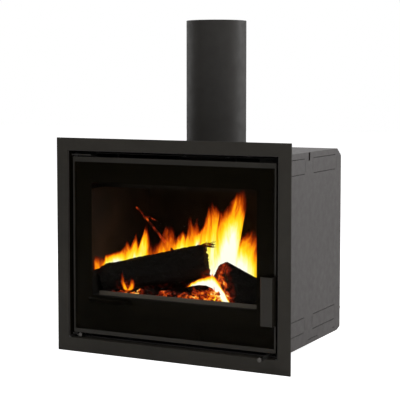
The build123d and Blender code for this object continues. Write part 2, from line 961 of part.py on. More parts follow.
def ash_pan_pull():
    """The folded pull on the front of the ash pan."""
    x = about(0, ash_pull_half)
    front = ash_pan_front - ash_pull_reach
    low_z = ash_floor_z() + ash_pan_height * ash_pull_share
    body = block(x, (front, ash_pan_front), (low_z, low_z + sheet))
    return body + block(x, (front, front + sheet), (low_z - ash_pull_drop, low_z + sheet))


# ---------------------------------------------------------------- door


def window_edge(margin=0.0):
    """(half width, low z, high z) of the clear window, grown by a margin."""
    return (window_half_width + margin, window_bottom_z - margin, window_top_z + margin)


def hinge_boss(z):
    """A square boss in a left corner of the door, round a hinge pin."""
    x = (-door_half, hinge_x + hinge_boss_reach)
    return block(x, (lug_front, hinge_depth + hinge_boss_back), z)


def lug_places():
    """(x, z, along) of each retainer lug, where along is the wall that the lug grows from."""
    places = []
    for side in (-1, 1):
        for z in (door_bottom_z + side_lug_rise, door_top_z - side_lug_drop):
            places.append((side * (retainer_half + side_lug_offset), z, "side"))
    for x in (-lug_pitch, 0.0, lug_pitch):
        places.append((x, door_bottom_z + door_wall + lug_edge, "bottom"))
        places.append((x, door_top_z - door_wall - lug_edge, "top"))
    return places


def lug_block(place, depth):
    """The block of a lug, from the wall of the door to just past its screw."""
    x, z, along = place
    half = lug_length / 2
    if along == "side":
        side = 1 if x > 0 else -1
        lug_x = on_side(side, (abs(x) - lug_edge, door_half - door_wall / 2))
        return block(lug_x, depth, about(z, half))
    if along == "bottom":
        return block(about(x, half), depth, (door_bottom_z + door_wall / 2, z + lug_edge))
    return block(about(x, half), depth, (z - lug_edge, door_top_z - door_wall / 2))


def bearing_levels():
    """(low, high) heights of the door's three bearings for the latch spindle."""
    low = spindle_bottom_z + spindle_end
    middle = handle_notch[0] - bearing_height - bearing_gap
    return [(start, start + bearing_height) for start in (low, middle, handle_notch[1])]


def door_frame():
    """The folded door frame: four walls, front lips over the glass, bosses, bearings and lugs."""
    outer = (door_half, door_bottom_z, door_top_z)
    inner = (door_half - door_wall, door_bottom_z + door_wall, door_top_z - door_wall)
    lips = (
        door_half - door_wall - door_lip_side,
        door_bottom_z + door_wall + door_lip_bottom,
        door_top_z - door_wall - door_lip_top,
    )
    body = ring(outer, inner, (door_front_depth, door_rear_depth))
    body += ring(outer, lips, (door_front_depth, glass_front))
    bottom_boss = (door_bottom_z, door_bottom_z + hinge_boss_height)
    top_boss = (door_top_z - hinge_boss_height, door_top_z)
    body += hinge_boss(bottom_boss)
    body += hinge_boss(top_boss)
    lug_depth = (lug_front, retainer_front)
    for place in lug_places():
        body += lug_block(place, lug_depth)
    bearing_x = (retainer_half + bearing_side_gap, door_half - door_wall / 2)
    bearing_depth = (lug_front, spindle_depth + bearing_back)
    for level in bearing_levels():
        body += block(bearing_x, bearing_depth, level)
    notch_x = (door_half - door_wall - door_lip_side, door_half + overcut)
    cuts = [block(notch_x, past((door_front_depth, door_rear_depth)), handle_notch)]
    for boss_z in (bottom_boss, top_boss):
        cuts.append(upright(hinge_x, hinge_depth, past(boss_z), hinge_bore))
    cuts.append(upright(spindle_x, spindle_depth, past((spindle_bottom_z, spindle_top_z)), spindle_bore))
    for x, z, along in lug_places():
        cuts.append(along_depth(x, past(lug_depth), z, screw_radius))
    return body - cuts


def glass():
    """The ceramic glass pane, which fills the door frame."""
    return panel(glass_half, (glass_front, glass_rear), (glass_bottom, glass_top), glass_corner)


def glass_print():
    """The black enamel on the rear of the glass, open at the window."""
    outer = (glass_half - print_inset, glass_bottom + print_inset, glass_top - print_inset)
    return ring(outer, window_edge(), (glass_rear, tape_front), (glass_corner, window_corner))


def glass_tape():
    """The flat glass-fibre tape between the glass and its retainer."""
    inner = window_edge(tape_margin)
    outer = window_edge(tape_margin + tape_width)
    corners = (window_corner + tape_width, window_corner)
    return ring(outer, inner, (tape_front, retainer_front), corners)


def glass_retainer():
    """The pressed frame that holds the glass and carries the door rope in its groove."""
    web_gap = door_wall + retainer_end_gap
    outer = (retainer_half, door_bottom_z + web_gap, door_top_z - web_gap)
    web = (retainer_front, retainer_rear)
    body = ring(outer, window_edge(retainer_margin), web, (0.0, window_corner))
    body += rope_band(rope_ring, (retainer_rear, rope_depth - rope_wall_drop))
    body -= rope_band(rope_groove, (rope_depth - rope_groove, rope_depth + rope_radius))
    cuts = []
    for x, z, along in lug_places():
        cuts.append(along_depth(x, past(web), z, screw_radius))
        if along == "side":
            side = 1 if x > 0 else -1
            ear_x = on_side(side, (retainer_half - lug_edge, abs(x) + lug_edge))
            body += block(ear_x, web, about(z, lug_length / 2))
        else:
            relief = (retainer_rear, retainer_rear + screw_radius * 3)
            cuts.append(along_depth(x, relief, z, screw_radius * 2))
    return body - cuts


def rope_band(reach, depth):
    """A band along the rope's path that reaches as far to both sides of it."""
    outer = (rope_half + reach, rope_bottom_z - reach, rope_top_z + reach)
    inner = (rope_half - reach, rope_bottom_z + reach, rope_top_z - reach)
    return ring(outer, inner, depth, (rope_corner + reach, rope_corner - reach))


def retainer_screws():
    """The screws of the glass retainer."""
    length = retainer_rear - lug_front
    return Compound([bolt(x, retainer_rear, z, length) for x, z, along in lug_places()])


def door_rope():
    """The round glass-fibre rope that seals the door against the front frame."""
    z_middle = (rope_bottom_z + rope_top_z) / 2
    path_plane = Plane(origin=(0, at(rope_depth), z_middle), x_dir=(1, 0, 0), z_dir=(0, -1, 0))
    outline = RectangleRounded(2 * rope_half, rope_top_z - rope_bottom_z, rope_corner)
    path = (path_plane * outline).wire()
    start = Plane(origin=path @ 0, z_dir=path % 0)
    return sweep(start * Circle(rope_radius), path=path)


def hinge_pin(level):
    """A hinge pin with a head, through its bracket into the door's boss."""
    if level == "top":
        end = hinge_top_z + hinge_plate
        z = (door_top_z - hinge_boss_height + hinge_pin_end_gap, end)
        head = (end, end + hinge_pin_head)
    else:
        z = (hinge_bottom_z, door_bottom_z + hinge_boss_height - hinge_pin_end_gap)
        head = (hinge_bottom_z - hinge_pin_head, hinge_bottom_z)
    body = upright(hinge_x, hinge_depth, z, hinge_pin_radius)
    return body + upright(hinge_x, hinge_depth, head, hinge_pin_radius + hinge_pin_rim)


def hinge_bracket(level):
    """A plate on the front frame that carries a hinge pin."""
    left = -(casing_inner - front_frame_side_gap - hinge_plate_side_gap)
    depth = (hinge_depth - hinge_plate_lead, front_frame_depth)
    low_z = hinge_top_z if level == "top" else hinge_bottom_z
    width = hinge_top_reach if level == "top" else hinge_bottom_width
    z = (low_z, low_z + hinge_plate)
    return block((left, left + width), depth, z) - upright(hinge_x, hinge_depth, past(z), hinge_bore)


def hinge_washers():
    """The brass washers that carry the door on its lower bracket and centre it under the upper one."""
    washers = []
    for low, high in ((hinge_bottom_z + hinge_plate, door_bottom_z), (door_top_z, hinge_top_z)):
        z = (low + washer_gap, high - washer_gap)
        washer = upright(hinge_x, hinge_depth, z, hinge_pin_radius + washer_rim)
        washers.append(washer - upright(hinge_x, hinge_depth, past(z), hinge_bore))
    return Compound(washers)


# ---------------------------------------------------------------- handle and latch


def handle_grip():
    """The folded grip: a front plate with a rolled left edge, a side plate and two sleeves."""
    z = (handle_bottom_z, handle_top_z)
    radius = handle_lip_radius
    roll_x = grip_outer - handle_width + radius
    roll_depth = grip_front + radius
    roll = upright(roll_x, roll_depth, z, radius)
    roll -= upright(roll_x, roll_depth, past(z), radius - handle_sheet)
    roll -= block((roll_x, roll_x + 2 * radius), past(about(roll_depth, radius)), past(z))
    body = roll + block((roll_x, grip_outer), (grip_front, grip_front + handle_sheet), z)
    tongue = about(spindle_depth, handle_sheet)
    body += block((grip_outer - handle_sheet, grip_outer), (grip_front, tongue[1]), z)
    for low in (z[0], z[1] - sleeve_length):
        level = (low, low + sleeve_length)
        body += upright(spindle_x, spindle_depth, level, spindle_bore + sleeve_wall)
        body += block((spindle_x + spindle_radius, grip_outer), tongue, level)
    return body - upright(spindle_x, spindle_depth, past(z), spindle_bore)


def spindle():
    """The upright latch spindle in the door's bearings."""
    return upright(spindle_x, spindle_depth, (spindle_bottom_z, spindle_top_z), spindle_radius)


def latch_hook():
    """The hook on the spindle: its nose goes behind the keeper."""
    z = (hook_z, hook_z + hook_thickness)
    shank_x = about(spindle_x, hook_shank / 2)
    body = upright(spindle_x, spindle_depth, z, hook_collar)
    body += block(shank_x, (spindle_depth, hook_rear), z)
    body += block((shank_x[0], hook_tip), (hook_front, hook_rear), z)
    return body - upright(spindle_x, spindle_depth, past(z), spindle_bore)


def latch_keeper():
    """The strike plate on the rear of the front frame."""
    x = (keeper_edge, casing_inner - keeper_side_gap)
    z = about(hook_z + hook_thickness / 2, keeper_height / 2)
    return block(x, (firebox_front, keeper_rear), z)


# ---------------------------------------------------------------- air controls


def control_offset(side):
    """How far a control stands out at rest: the right one is pulled out, the left one is in."""
    return control_travel if side > 0 else 0.0


def control_knob(side):
    """The turned end of an air control."""
    front = knob_front_depth - control_offset(side)
    body = along_depth(side * control_x, (front, front + knob_length), control_z, knob_radius)
    return fillet(body.edges().filter_by(GeomType.CIRCLE), knob_edge)


def control_rod(side):
    """The rod from the knob to the shutter's tab."""
    front = knob_front_depth + knob_length - control_offset(side)
    return along_depth(side * control_x, (front, front + rod_length), control_z, rod_radius)


def shutter_front(offset):
    """Depth of a shutter's front edge, pulled out by an offset: the rod's end is in its tab."""
    return knob_front_depth + knob_length + rod_length - shutter_tab - offset


def shutter_window(front):
    """(low, high) depths of the window in a shutter whose front edge is at a depth."""
    rear = front + shutter_length - shutter_end
    return (rear - air_window, rear)


def air_shutter(side):
    """The sliding plate that opens or closes the window of its air box."""
    centre = side * control_x
    half = shutter_width / 2
    front = shutter_front(control_offset(side))
    z = (shutter_low_z, shutter_low_z + shutter_thickness)
    tab_depth = (front, front + shutter_tab)
    tab_z = (control_z - rod_radius + shutter_tab_gap, z[1])
    body = block(about(centre, half), (front, front + shutter_length), z)
    body += block(about(centre, shutter_tab_half), tab_depth, tab_z)
    body -= block(about(centre, half - air_window_inset), shutter_window(front), past(z))
    return body - along_depth(centre, past(tab_depth), control_z, rod_radius)


def air_box(side):
    """The box over a shutter: guide lips, a window in its floor, and a riser to the firebox floor."""
    centre = side * control_x
    half = shutter_width / 2 + shutter_gap
    wall = air_box_wall
    front = shutter_front(0.0) - air_box_lead
    depth = (front, front + air_box_length)
    low = shutter_low_z + shutter_thickness + shutter_gap
    z = (low, low + air_box_height)
    lip_z = (shutter_low_z - shutter_gap - wall, shutter_low_z - shutter_gap)
    body = block(about(centre, half + wall), depth, z)
    body -= block(about(centre, half), (depth[0] + wall, depth[1] - wall), (z[0] + wall, z[1] - wall))
    for edge in (-1, 1):
        wall_x = on_side(edge, (half, half + wall))
        lip_x = on_side(edge, (half - air_box_lip, half + wall))
        body += Pos(centre, 0, 0) * block(wall_x, depth, (lip_z[0], low))
        body += Pos(centre, 0, 0) * block(lip_x, depth, lip_z)
    window_x = about(centre, shutter_width / 2 - air_window_inset)
    window_depth = shutter_window(shutter_front(control_travel))
    body -= block(window_x, window_depth, past((low, low + wall)))
    riser_depth = depth[1] - riser_setback
    body += upright(centre, riser_depth, (z[1] - wall / 2, floor_z), riser_radius + wall)
    return body - upright(centre, riser_depth, past((z[1] - wall, floor_z)), riser_radius)


def rod_guide(side):
    """The guide plate on the base that a control rod slides through."""
    centre = side * control_x
    depth = (guide_depth, guide_depth + guide_thickness)
    body = block(about(centre, guide_half), depth, (base_thickness, base_thickness + guide_height))
    return body - along_depth(centre, past(depth), control_z, rod_radius + running_clearance)


# ---------------------------------------------------------------- convection fan


def fan_span():
    """(low, high) X of the fan wheel."""
    return about(-fan_offset, fan_wheel_length / 2)


def fan_wheel():
    """The tangential wheel: two end discs and a middle one, joined by a ring of blades."""
    low, high = fan_span()
    middle = (low + high) / 2
    body = along_width((low, high), fan_axis_depth, fan_axis_z, fan_shaft_radius)
    for x in (low, middle - fan_disc / 2, high - fan_disc):
        body += along_width((x, x + fan_disc), fan_axis_depth, fan_axis_z, fan_wheel_radius)
    blades = []
    mid_radius = fan_wheel_radius - fan_blade_chord / 2 - fan_blade_rim
    blade = Rot(0, 0, fan_blade_angle) * Box(fan_blade, fan_blade_chord, high - low)
    axis = Pos(middle, at(fan_axis_depth), fan_axis_z) * Rot(0, 90, 0)
    for index in range(fan_blade_count):
        blades.append(axis * Rot(0, 0, 360 / fan_blade_count * index) * Pos(0, mid_radius, 0) * blade)
    return body + blades


def fan_shaft():
    """The stub shafts of the wheel: one in the end bush, one in the motor."""
    low, high = fan_span()
    near_end = low - fan_end_gap - fan_shell - fan_shaft_end
    far_end = high + fan_end_gap + fan_shell + motor_gap + motor_length / 2
    spans = ((near_end, low), (high, far_end))
    return Compound([along_width(x, fan_axis_depth, fan_axis_z, fan_shaft_radius) for x in spans])


def fan_housing():
    """The scroll round the wheel, open at the back, with a throat that blows upwards."""
    low, high = fan_span()
    x = (low - fan_end_gap, high + fan_end_gap)
    axis = fan_axis_depth
    inner, outer = fan_shell_inner, fan_shell_outer
    top = fan_axis_z + outer + fan_outlet_rise
    body = along_width(x, axis, fan_axis_z, outer)
    body -= along_width(past(x), axis, fan_axis_z, inner)
    body -= block(past(x), (axis, axis + outer + overcut), (fan_axis_z - fan_inlet_drop, top))
    body -= block(past(x), (axis - inner + fan_scroll_lap, axis + overcut), (fan_axis_z, top))
    lip = axis + fan_outlet_lip
    body += block(x, (axis - outer, axis - inner), (fan_axis_z, top))
    body += block(x, (lip, lip + fan_shell), (fan_axis_z + inner, top))
    for end_x in ((x[0] - fan_shell, x[0]), (x[1], x[1] + fan_shell)):
        end = block(end_x, about(axis, outer), (base_thickness, top))
        body += end - along_width(past(end_x), axis, fan_axis_z, fan_shaft_radius + running_clearance)
    return body


def fan_motor():
    """The shaded-pole motor beside the wheel, on a plate that reaches the housing."""
    housing = fan_span()[1] + fan_end_gap + fan_shell
    front = housing + motor_gap
    body = along_width((front, front + motor_length), fan_axis_depth, fan_axis_z, motor_radius)
    z = about(fan_axis_z, motor_arm_half)
    body += block((front, front + motor_plate), about(fan_axis_depth, motor_arm_reach), z)
    for side in (-1, 1):
        arm = on_side(side, (motor_arm_reach - motor_arm, motor_arm_reach))
        depth = (fan_axis_depth + arm[0], fan_axis_depth + arm[1])
        body += block((housing, front + motor_plate), depth, z)
    bore = past((front, front + motor_length / 2))
    return body - along_width(bore, fan_axis_depth, fan_axis_z, fan_shaft_radius + running_clearance)


def cable_gland():
    """The screwed gland for the fan's lead, through the back panel."""
    inner = casing_rear - sheet
    nut_rear = casing_rear + gland_nut_length
    spans = [
        ((inner - gland_neck_length, casing_rear), gland_neck),
        ((casing_rear, nut_rear), gland_radius),
        ((nut_rear, gland_rear), gland_radius * gland_cap_share),
        ((inner - gland_inner_nut, inner), gland_radius),
    ]
    body = [along_depth(gland_x, depth, gland_z, radius) for depth, radius in spans]
    bore = past((inner - gland_neck_length, gland_rear))
    return body[0] + body[1:] - along_depth(gland_x, bore, gland_z, gland_bore_radius)


def thermostat():
    """The bimetal switch on the rear of the firebox that starts the fan."""
    rear = firebox_rear + thermostat_height
    body = along_depth(thermostat_x, (firebox_rear, rear), thermostat_z, thermostat_radius)
    foot_x = about(thermostat_x, thermostat_foot_half)
    foot_z = about(thermostat_z, thermostat_foot_height / 2)
    body += block(foot_x, (firebox_rear, firebox_rear + thermostat_foot), foot_z)
    blade_z = about(thermostat_z, thermostat_blade_height / 2)
    for side in (-1, 1):
        blade_x = about(thermostat_x + side * thermostat_blade_x, thermostat_blade / 2)
        body += block(blade_x, (rear, rear + thermostat_blade_length), blade_z)
    return body


# ---------------------------------------------------------------- flue


def collar_bolt_places():
    """(x, depth) of the collar's bolts."""
    radius = (collar_outer_radius + collar_ring_radius) / 2
    places = []
    for index in range(collar_bolt_count):
        angle = radians(first_bolt_angle + 360 / collar_bolt_count * index)
        places.append((radius * cos(angle), flue_depth + radius * sin(angle)))
    return places


def flue_collar():
    """The cast collar on the firebox top: a bolted ring and a socket for the pipe."""
    ring_z = (firebox_top_z, pipe_bottom_z)
    body = upright(0, flue_depth, ring_z, collar_ring_radius)
    body += upright(0, flue_depth, (pipe_bottom_z, collar_top_z), collar_outer_radius)
    socket_z = (pipe_bottom_z, collar_top_z + overcut)
    cuts = [upright(0, flue_depth, past(ring_z), collar_hole_radius)]
    cuts.append(upright(0, flue_depth, socket_z, pipe_outer_radius + collar_clearance))
    for x, depth in collar_bolt_places():
        cuts.append(upright(x, depth, past(ring_z), collar_bolt_radius))
    return body - cuts


def collar_bolts():
    """The hexagon bolts of the flue collar."""
    bolts = []
    shank_z = (firebox_ceiling - collar_bolt_end, pipe_bottom_z)
    head = extrude(RegularPolygon(collar_bolt_head_radius, 6), collar_bolt_head)
    for x, depth in collar_bolt_places():
        shank = upright(x, depth, shank_z, collar_bolt_radius - running_clearance)
        bolts.append(shank + Pos(x, at(depth), pipe_bottom_z) * head)
    return Compound(bolts)


def flue_pipe():
    """The length of flue pipe that stands in the collar."""
    z = (pipe_bottom_z, pipe_top_z)
    body = upright(0, flue_depth, z, pipe_outer_radius)
    return body - upright(0, flue_depth, past(z), pipe_outer_radius - pipe_wall)


# ---------------------------------------------------------------- firewood and embers


def ember_bed():
    """The low bed of embers on the grate and the tiles round it."""
    low = in_fire((ember_bed_x[0], ember_bed_depth[0]))
    high = in_fire((ember_bed_x[1], ember_bed_depth[1]))
    body = block((low[0], high[0]), (low[1], high[1]), (hearth_z, ember_top_z))
    return chamfer(body.faces().sort_by(Axis.Z)[-1].edges(), ember_bed_height * ember_bed_slope)


def in_fire(share):
    """(x, depth) of a place given as shares of the fire bed's half width and of its depth."""
    return (share[0] * cavity_half, firebox_front + share[1] * (lining_back_front - firebox_front))


def log_section(radius, seed):
    """An uneven section of a log, as a closed polygon."""
    points = []
    for index in range(log_corner_count):
        angle = 2 * pi * index / log_corner_count
        swell = 1 + 0.07 * sin(2 * angle + seed) + 0.05 * sin(3 * angle + 2.1 * seed)
        points.append((radius * swell * cos(angle), radius * swell * sin(angle)))
    return make_face(Polyline(*points, close=True))


def log_on(seat_z, ends, rise, radii, seed):
    """A tapered log between two places in the fire, whose lowest point is just above a seat."""
    (x0, depth0), (x1, depth1) = [in_fire(share) for share in ends]
    a = Vector(x0, at(depth0), 0)
    b = Vector(x1, at(depth1), rise * cavity_half)
    first = Plane(origin=a, z_dir=b - a)
    last = Plane(origin=b, x_dir=first.x_dir, z_dir=b - a)
    body = loft([first * log_section(radii[0], seed), last * log_section(radii[1], seed)])
    return Pos(0, 0, seat_z + log_gap - body.bounding_box().min.Z) * body


def log_main():
    """The long log that lies across the fire, low at its left end."""
    return log_on(hearth_z, main_log, main_log_rise, main_log_radii, 0.4)


def split_end(places, corners):
    """One upright end of the split log, as a closed polygon."""
    (x0, depth0), (x1, depth1) = [in_fire(share) for share in places]
    foot = Vector(x0, at(depth0), ember_top_z + log_gap)
    run = Vector(x1 - x0, depth1 - depth0, 0)
    points = [foot + run * along + Vector(0, 0, height * cavity_half) for along, height in corners]
    return make_face(Polyline(*points, close=True))


def log_right():
    """The split log at the right, charred, whose ridge falls away to the right."""
    left = split_end(split_left_places, split_left_corners)
    right = split_end(split_right_places, split_right_corners)
    return loft([left, right], ruled=True)


def log_under():
    """The short log that carries the long one's right end, as thick as the room under that end."""
    (x0, depth0), (x1, depth1) = [in_fire(share) for share in under_log]
    over = log_main() & block(about((x0 + x1) / 2, log_gap), (depth0, depth1), (hearth_z, casing_height))
    room = over.bounding_box().min.Z - ember_top_z - 2 * log_gap
    trial = log_on(ember_top_z, under_log, 0, (1, under_log_taper), 4.0)
    radius = room / trial.bounding_box().size.Z
    return log_on(ember_top_z, under_log, 0, (radius, radius * under_log_taper), 4.0)


def log_rear():
    """The log at the back of the fire."""
    return log_on(ember_top_z, rear_log, 0, rear_log_radii, 5.1)


# ---------------------------------------------------------------- all nodes

for side, name in ((-1, "left"), (1, "right")):
    pieces[f"casing_side_{name}"] = casing_side(side)
    pieces[f"control_knob_{name}"] = control_knob(side)
    pieces[f"control_rod_{name}"] = control_rod(side)
    pieces[f"air_shutter_{name}"] = air_shutter(side)

pieces["trim_flange"] = trim_flange()
pieces["casing_base"] = casing_base()
pieces["casing_top"] = casing_top()
pieces["casing_back"] = casing_back()
pieces["casing_screws"] = casing_screws()
pieces["front_frame"] = front_frame()
pieces["firebox_sides"] = both(firebox_side)
pieces["firebox_back"] = firebox_back()
pieces["firebox_top"] = firebox_top()
pieces["firebox_floor"] = firebox_floor()
pieces["hearth_tiles"] = Compound([hearth_tile(name) for name in ("front", "rear", "left", "right")])
pieces["lining_sides"] = both(lining_side)
pieces["lining_back"] = lining_back()
pieces["rear_air_duct"] = rear_air_duct()
pieces["baffle"] = baffle()
pieces["deflector"] = deflector()
pieces["air_wash"] = air_wash()
pieces["log_guard"] = log_guard()
pieces["grate"] = grate()
pieces["ash_box"] = ash_box()
pieces["ash_pan"] = ash_pan() + ash_pan_pull()
pieces["supports"] = both(support)
pieces["deflector_ledges"] = both(deflector_ledge)
pieces["casing_angles"] = both(casing_angle)
pieces["air_boxes"] = both(air_box)
pieces["rod_guides"] = both(rod_guide)
pieces["hinge_pins"] = Compound([hinge_pin(level) for level in ("top", "bottom")])
pieces["hinge_brackets"] = Compound([hinge_bracket(level) for level in ("top", "bottom")])
pieces["door_frame"] = door_frame()
pieces["glass"] = glass()
pieces["glass_print"] = glass_print()
pieces["glass_tape"] = glass_tape()
pieces["glass_retainer"] = glass_retainer()
pieces["retainer_screws"] = retainer_screws()
pieces["door_rope"] = door_rope()
pieces["hinge_washers"] = hinge_washers()
pieces["handle_grip"] = handle_grip()
pieces["spindle"] = spindle()
pieces["latch_hook"] = latch_hook()
pieces["latch_keeper"] = latch_keeper()
pieces["fan_wheel"] = fan_wheel() + fan_shaft()
pieces["fan_housing"] = fan_housing()
pieces["fan_motor"] = fan_motor()
pieces["thermostat"] = thermostat()
pieces["cable_gland"] = cable_gland()
pieces["flue_collar"] = flue_collar()
pieces["collar_bolts"] = collar_bolts()
pieces["flue_pipe"] = flue_pipe()
pieces["ember_bed"] = ember_bed()
pieces["log_main"] = log_main()
pieces["log_right"] = log_right()
pieces["logs_behind"] = Compound([log_under(), log_rear()])

for name, shape in pieces.items():
    export_step(shape, f"parts/{name}.step")
print(len(pieces), "nodes")
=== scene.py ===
"""A burning wood fireplace insert, dressed over its CAD frame.

Metres, +Z up, the front faces -Y. A depth is a distance behind the front face of the trim flange.
"""

import json
import math
import random

import bmesh
import bpy
from mathutils import Matrix, Vector, noise


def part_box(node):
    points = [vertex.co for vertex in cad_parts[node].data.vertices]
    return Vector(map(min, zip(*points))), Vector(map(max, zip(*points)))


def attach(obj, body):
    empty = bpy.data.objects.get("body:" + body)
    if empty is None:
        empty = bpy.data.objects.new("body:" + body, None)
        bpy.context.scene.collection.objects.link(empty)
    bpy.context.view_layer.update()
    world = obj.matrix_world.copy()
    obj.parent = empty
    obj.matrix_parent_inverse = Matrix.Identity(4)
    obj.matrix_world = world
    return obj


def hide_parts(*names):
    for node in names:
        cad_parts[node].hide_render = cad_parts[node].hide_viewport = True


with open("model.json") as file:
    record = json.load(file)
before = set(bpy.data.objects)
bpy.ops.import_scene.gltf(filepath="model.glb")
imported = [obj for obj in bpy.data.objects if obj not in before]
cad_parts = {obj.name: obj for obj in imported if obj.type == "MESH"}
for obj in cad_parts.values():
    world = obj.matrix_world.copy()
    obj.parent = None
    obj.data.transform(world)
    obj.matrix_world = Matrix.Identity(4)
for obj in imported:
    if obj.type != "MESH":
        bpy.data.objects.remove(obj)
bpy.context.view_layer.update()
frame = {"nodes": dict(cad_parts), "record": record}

# ---------------------------------------------------------------- places from the frame

FRONT_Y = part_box("trim_flange")[0].y
FLANGE_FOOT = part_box("trim_flange")[0].z
HEARTH_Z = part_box("hearth_tiles")[1].z
EMBER_LOW, EMBER_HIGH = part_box("ember_bed")

# ---------------------------------------------------------------- camera, worked out from the photograph

CAMERA_PLACE = (1.6734, -3.2836, 0.7648)
CAMERA_AZIMUTH = 27.31
CAMERA_PITCH = 4.13
CAMERA_LENS = 111.59
CAMERA_SHIFT = -0.08


def at(depth):
    """Y of a depth behind the front face of the flange."""
    return FRONT_Y + depth


# ---------------------------------------------------------------- shader helpers


class Finish:
    """A material with one Principled shader, and short calls for the nodes that feed it."""

    def __init__(self, name, colour, roughness, metallic=0.0):
        self.material = bpy.data.materials.new(name)
        self.material.use_nodes = True
        self.tree = self.material.node_tree
        self.shader = self.tree.nodes["Principled BSDF"]
        self.set("Base Color", (*colour, 1.0))
        self.set("Roughness", roughness)
        self.set("Metallic", metallic)
        self.place = self.node("ShaderNodeTexCoord").outputs["Object"]

    def set(self, socket, value):
        self.shader.inputs[socket].default_value = value

    def node(self, kind, **values):
        made = self.tree.nodes.new(kind)
        for name, value in values.items():
            setattr(made, name, value)
        return made

    def feed(self, source, target):
        self.tree.links.new(source, target)
        return target

    def to(self, source, socket):
        return self.feed(source, self.shader.inputs[socket])

    def stretched(self, stretch):
        """Object coordinates, scaled by a factor on each axis."""
        mapping = self.node("ShaderNodeMapping")
        mapping.inputs["Scale"].default_value = stretch
        self.feed(self.place, mapping.inputs["Vector"])
        return mapping.outputs["Vector"]

    def noise(self, size, detail=4.0, roughness=0.55, distortion=0.0, vector=None):
        """Noise whose largest features are about size across."""
        made = self.node("ShaderNodeTexNoise")
        made.inputs["Scale"].default_value = 1.0 / size
        made.inputs["Detail"].default_value = detail
        made.inputs["Roughness"].default_value = roughness
        made.inputs["Distortion"].default_value = distortion
        self.feed(vector or self.place, made.inputs["Vector"])
        return made.outputs["Fac"]

    def cells(self, size, feature="F1", vector=None, output="Distance"):
        """A Voronoi pattern whose cells are about size across."""
        made = self.node("ShaderNodeTexVoronoi", feature=feature)
        made.inputs["Scale"].default_value = 1.0 / size
        self.feed(vector or self.place, made.inputs["Vector"])
        return made.outputs[output]

    def shaken(self, size, reach):
        """Object coordinates pushed about by noise."""
        made = self.node("ShaderNodeTexNoise")
        made.inputs["Scale"].default_value = 1.0 / size
        self.feed(self.place, made.inputs["Vector"])
        moved = self.node("ShaderNodeVectorMath", operation="MULTIPLY_ADD")
        self.feed(made.outputs["Color"], moved.inputs[0])
        moved.inputs[1].default_value = (reach, reach, reach)
        self.feed(self.place, moved.inputs[2])
        return moved.outputs["Vector"]

    def ramp(self, source, stops):
        """A colour ramp from (position, colour) stops."""
        made = self.node("ShaderNodeValToRGB")
        elements = made.color_ramp.elements
        elements.remove(elements[1])
        for number, (position, colour) in enumerate(stops):
            element = elements.new(position) if number else elements[0]
            element.position = position
            element.color = (*colour, 1.0)
        self.feed(source, made.inputs["Fac"])
        return made.outputs["Color"]

    def levels(self, source, low, high, to_low=0.0, to_high=1.0):
        """Source values between low and high, spread between two others."""
        made = self.node("ShaderNodeMapRange")
        for name, value in zip(("From Min", "From Max", "To Min", "To Max"), (low, high, to_low, to_high)):
            made.inputs[name].default_value = value
        self.feed(source, made.inputs["Value"])
        return made.outputs["Result"]

    def math(self, operation, a, b):
        """A sum on two values; each may be a socket or a number."""
        made = self.node("ShaderNodeMath", operation=operation)
        for value, socket in ((a, made.inputs[0]), (b, made.inputs[1])):
            if isinstance(value, (int, float)):
                socket.default_value = value
            else:
                self.feed(value, socket)
        return made.outputs[0]

    def mix(self, factor, first, second):
        """Two colours mixed; each may be a socket or a tuple."""
        made = self.node("ShaderNodeMix", data_type="RGBA")
        factor_in, first_in, second_in = made.inputs[0], made.inputs[6], made.inputs[7]
        for value, socket in ((first, first_in), (second, second_in)):
            if isinstance(value, tuple):
                socket.default_value = (*value, 1.0)
            else:
                self.feed(value, socket)
        if isinstance(factor, (int, float)):
            factor_in.default_value = factor
        else:
            self.feed(factor, factor_in)
        return made.outputs[2]

    def bump(self, height, distance, strength=1.0):
        """Surface relief, in metres."""
        made = self.node("ShaderNodeBump")
        made.inputs["Distance"].default_value = distance
        made.inputs["Strength"].default_value = strength
        self.feed(height, made.inputs["Height"])
        self.to(made.outputs["Normal"], "Normal")


def shade(colour, factor):
    return tuple(min(1.0, part * factor) for part in colour)


def painted(name, colour, roughness=0.5, grain=0.0009, depth=0.00006, streak=0.18):
    """Sprayed stove paint: fine orange peel, faint clouds and a little dust."""
    made = Finish(name, colour, roughness)
    clouds = made.noise(0.11, 6.0, 0.6)
    dust = made.noise(0.004, 5.0, 0.7)
    tone = made.mix(made.levels(clouds, 0.3, 0.7), shade(colour, 1 - streak), shade(colour, 1 + streak))
    made.to(made.mix(made.levels(dust, 0.62, 0.8, 0.0, 0.22), tone, shade(colour, 1.9)), "Base Color")
    made.to(made.levels(made.noise(0.03, 5.0), 0.3, 0.7, roughness - 0.06, roughness + 0.08), "Roughness")
    made.bump(made.noise(grain, 3.0, 0.6), depth)
    return made.material


def sheet_steel(name, colour, roughness=0.42, metallic=0.35):
    """Sheet steel: small spangles, rolling streaks and hand marks."""
    made = Finish(name, colour, roughness, metallic)
    spangle = made.cells(0.009, output="Color")
    streaks = made.noise(0.004, 5.0, 0.7, vector=made.stretched((1.0, 1.0, 0.04)))
    tone = made.mix(made.levels(spangle, 0.0, 1.0), shade(colour, 0.93), shade(colour, 1.07))
    tone = made.mix(made.levels(streaks, 0.35, 0.7, 0.0, 0.35), tone, shade(colour, 0.86))
    smears = made.levels(made.noise(0.16, 6.0, 0.62), 0.45, 0.75, 0.0, 0.5)
    made.to(made.mix(smears, tone, shade(colour, 1.14)), "Base Color")
    made.to(made.levels(made.noise(0.02, 5.0), 0.3, 0.7, roughness - 0.08, roughness + 0.1), "Roughness")
    made.bump(made.noise(0.0016, 4.0, 0.6), 0.00004)
    return made.material


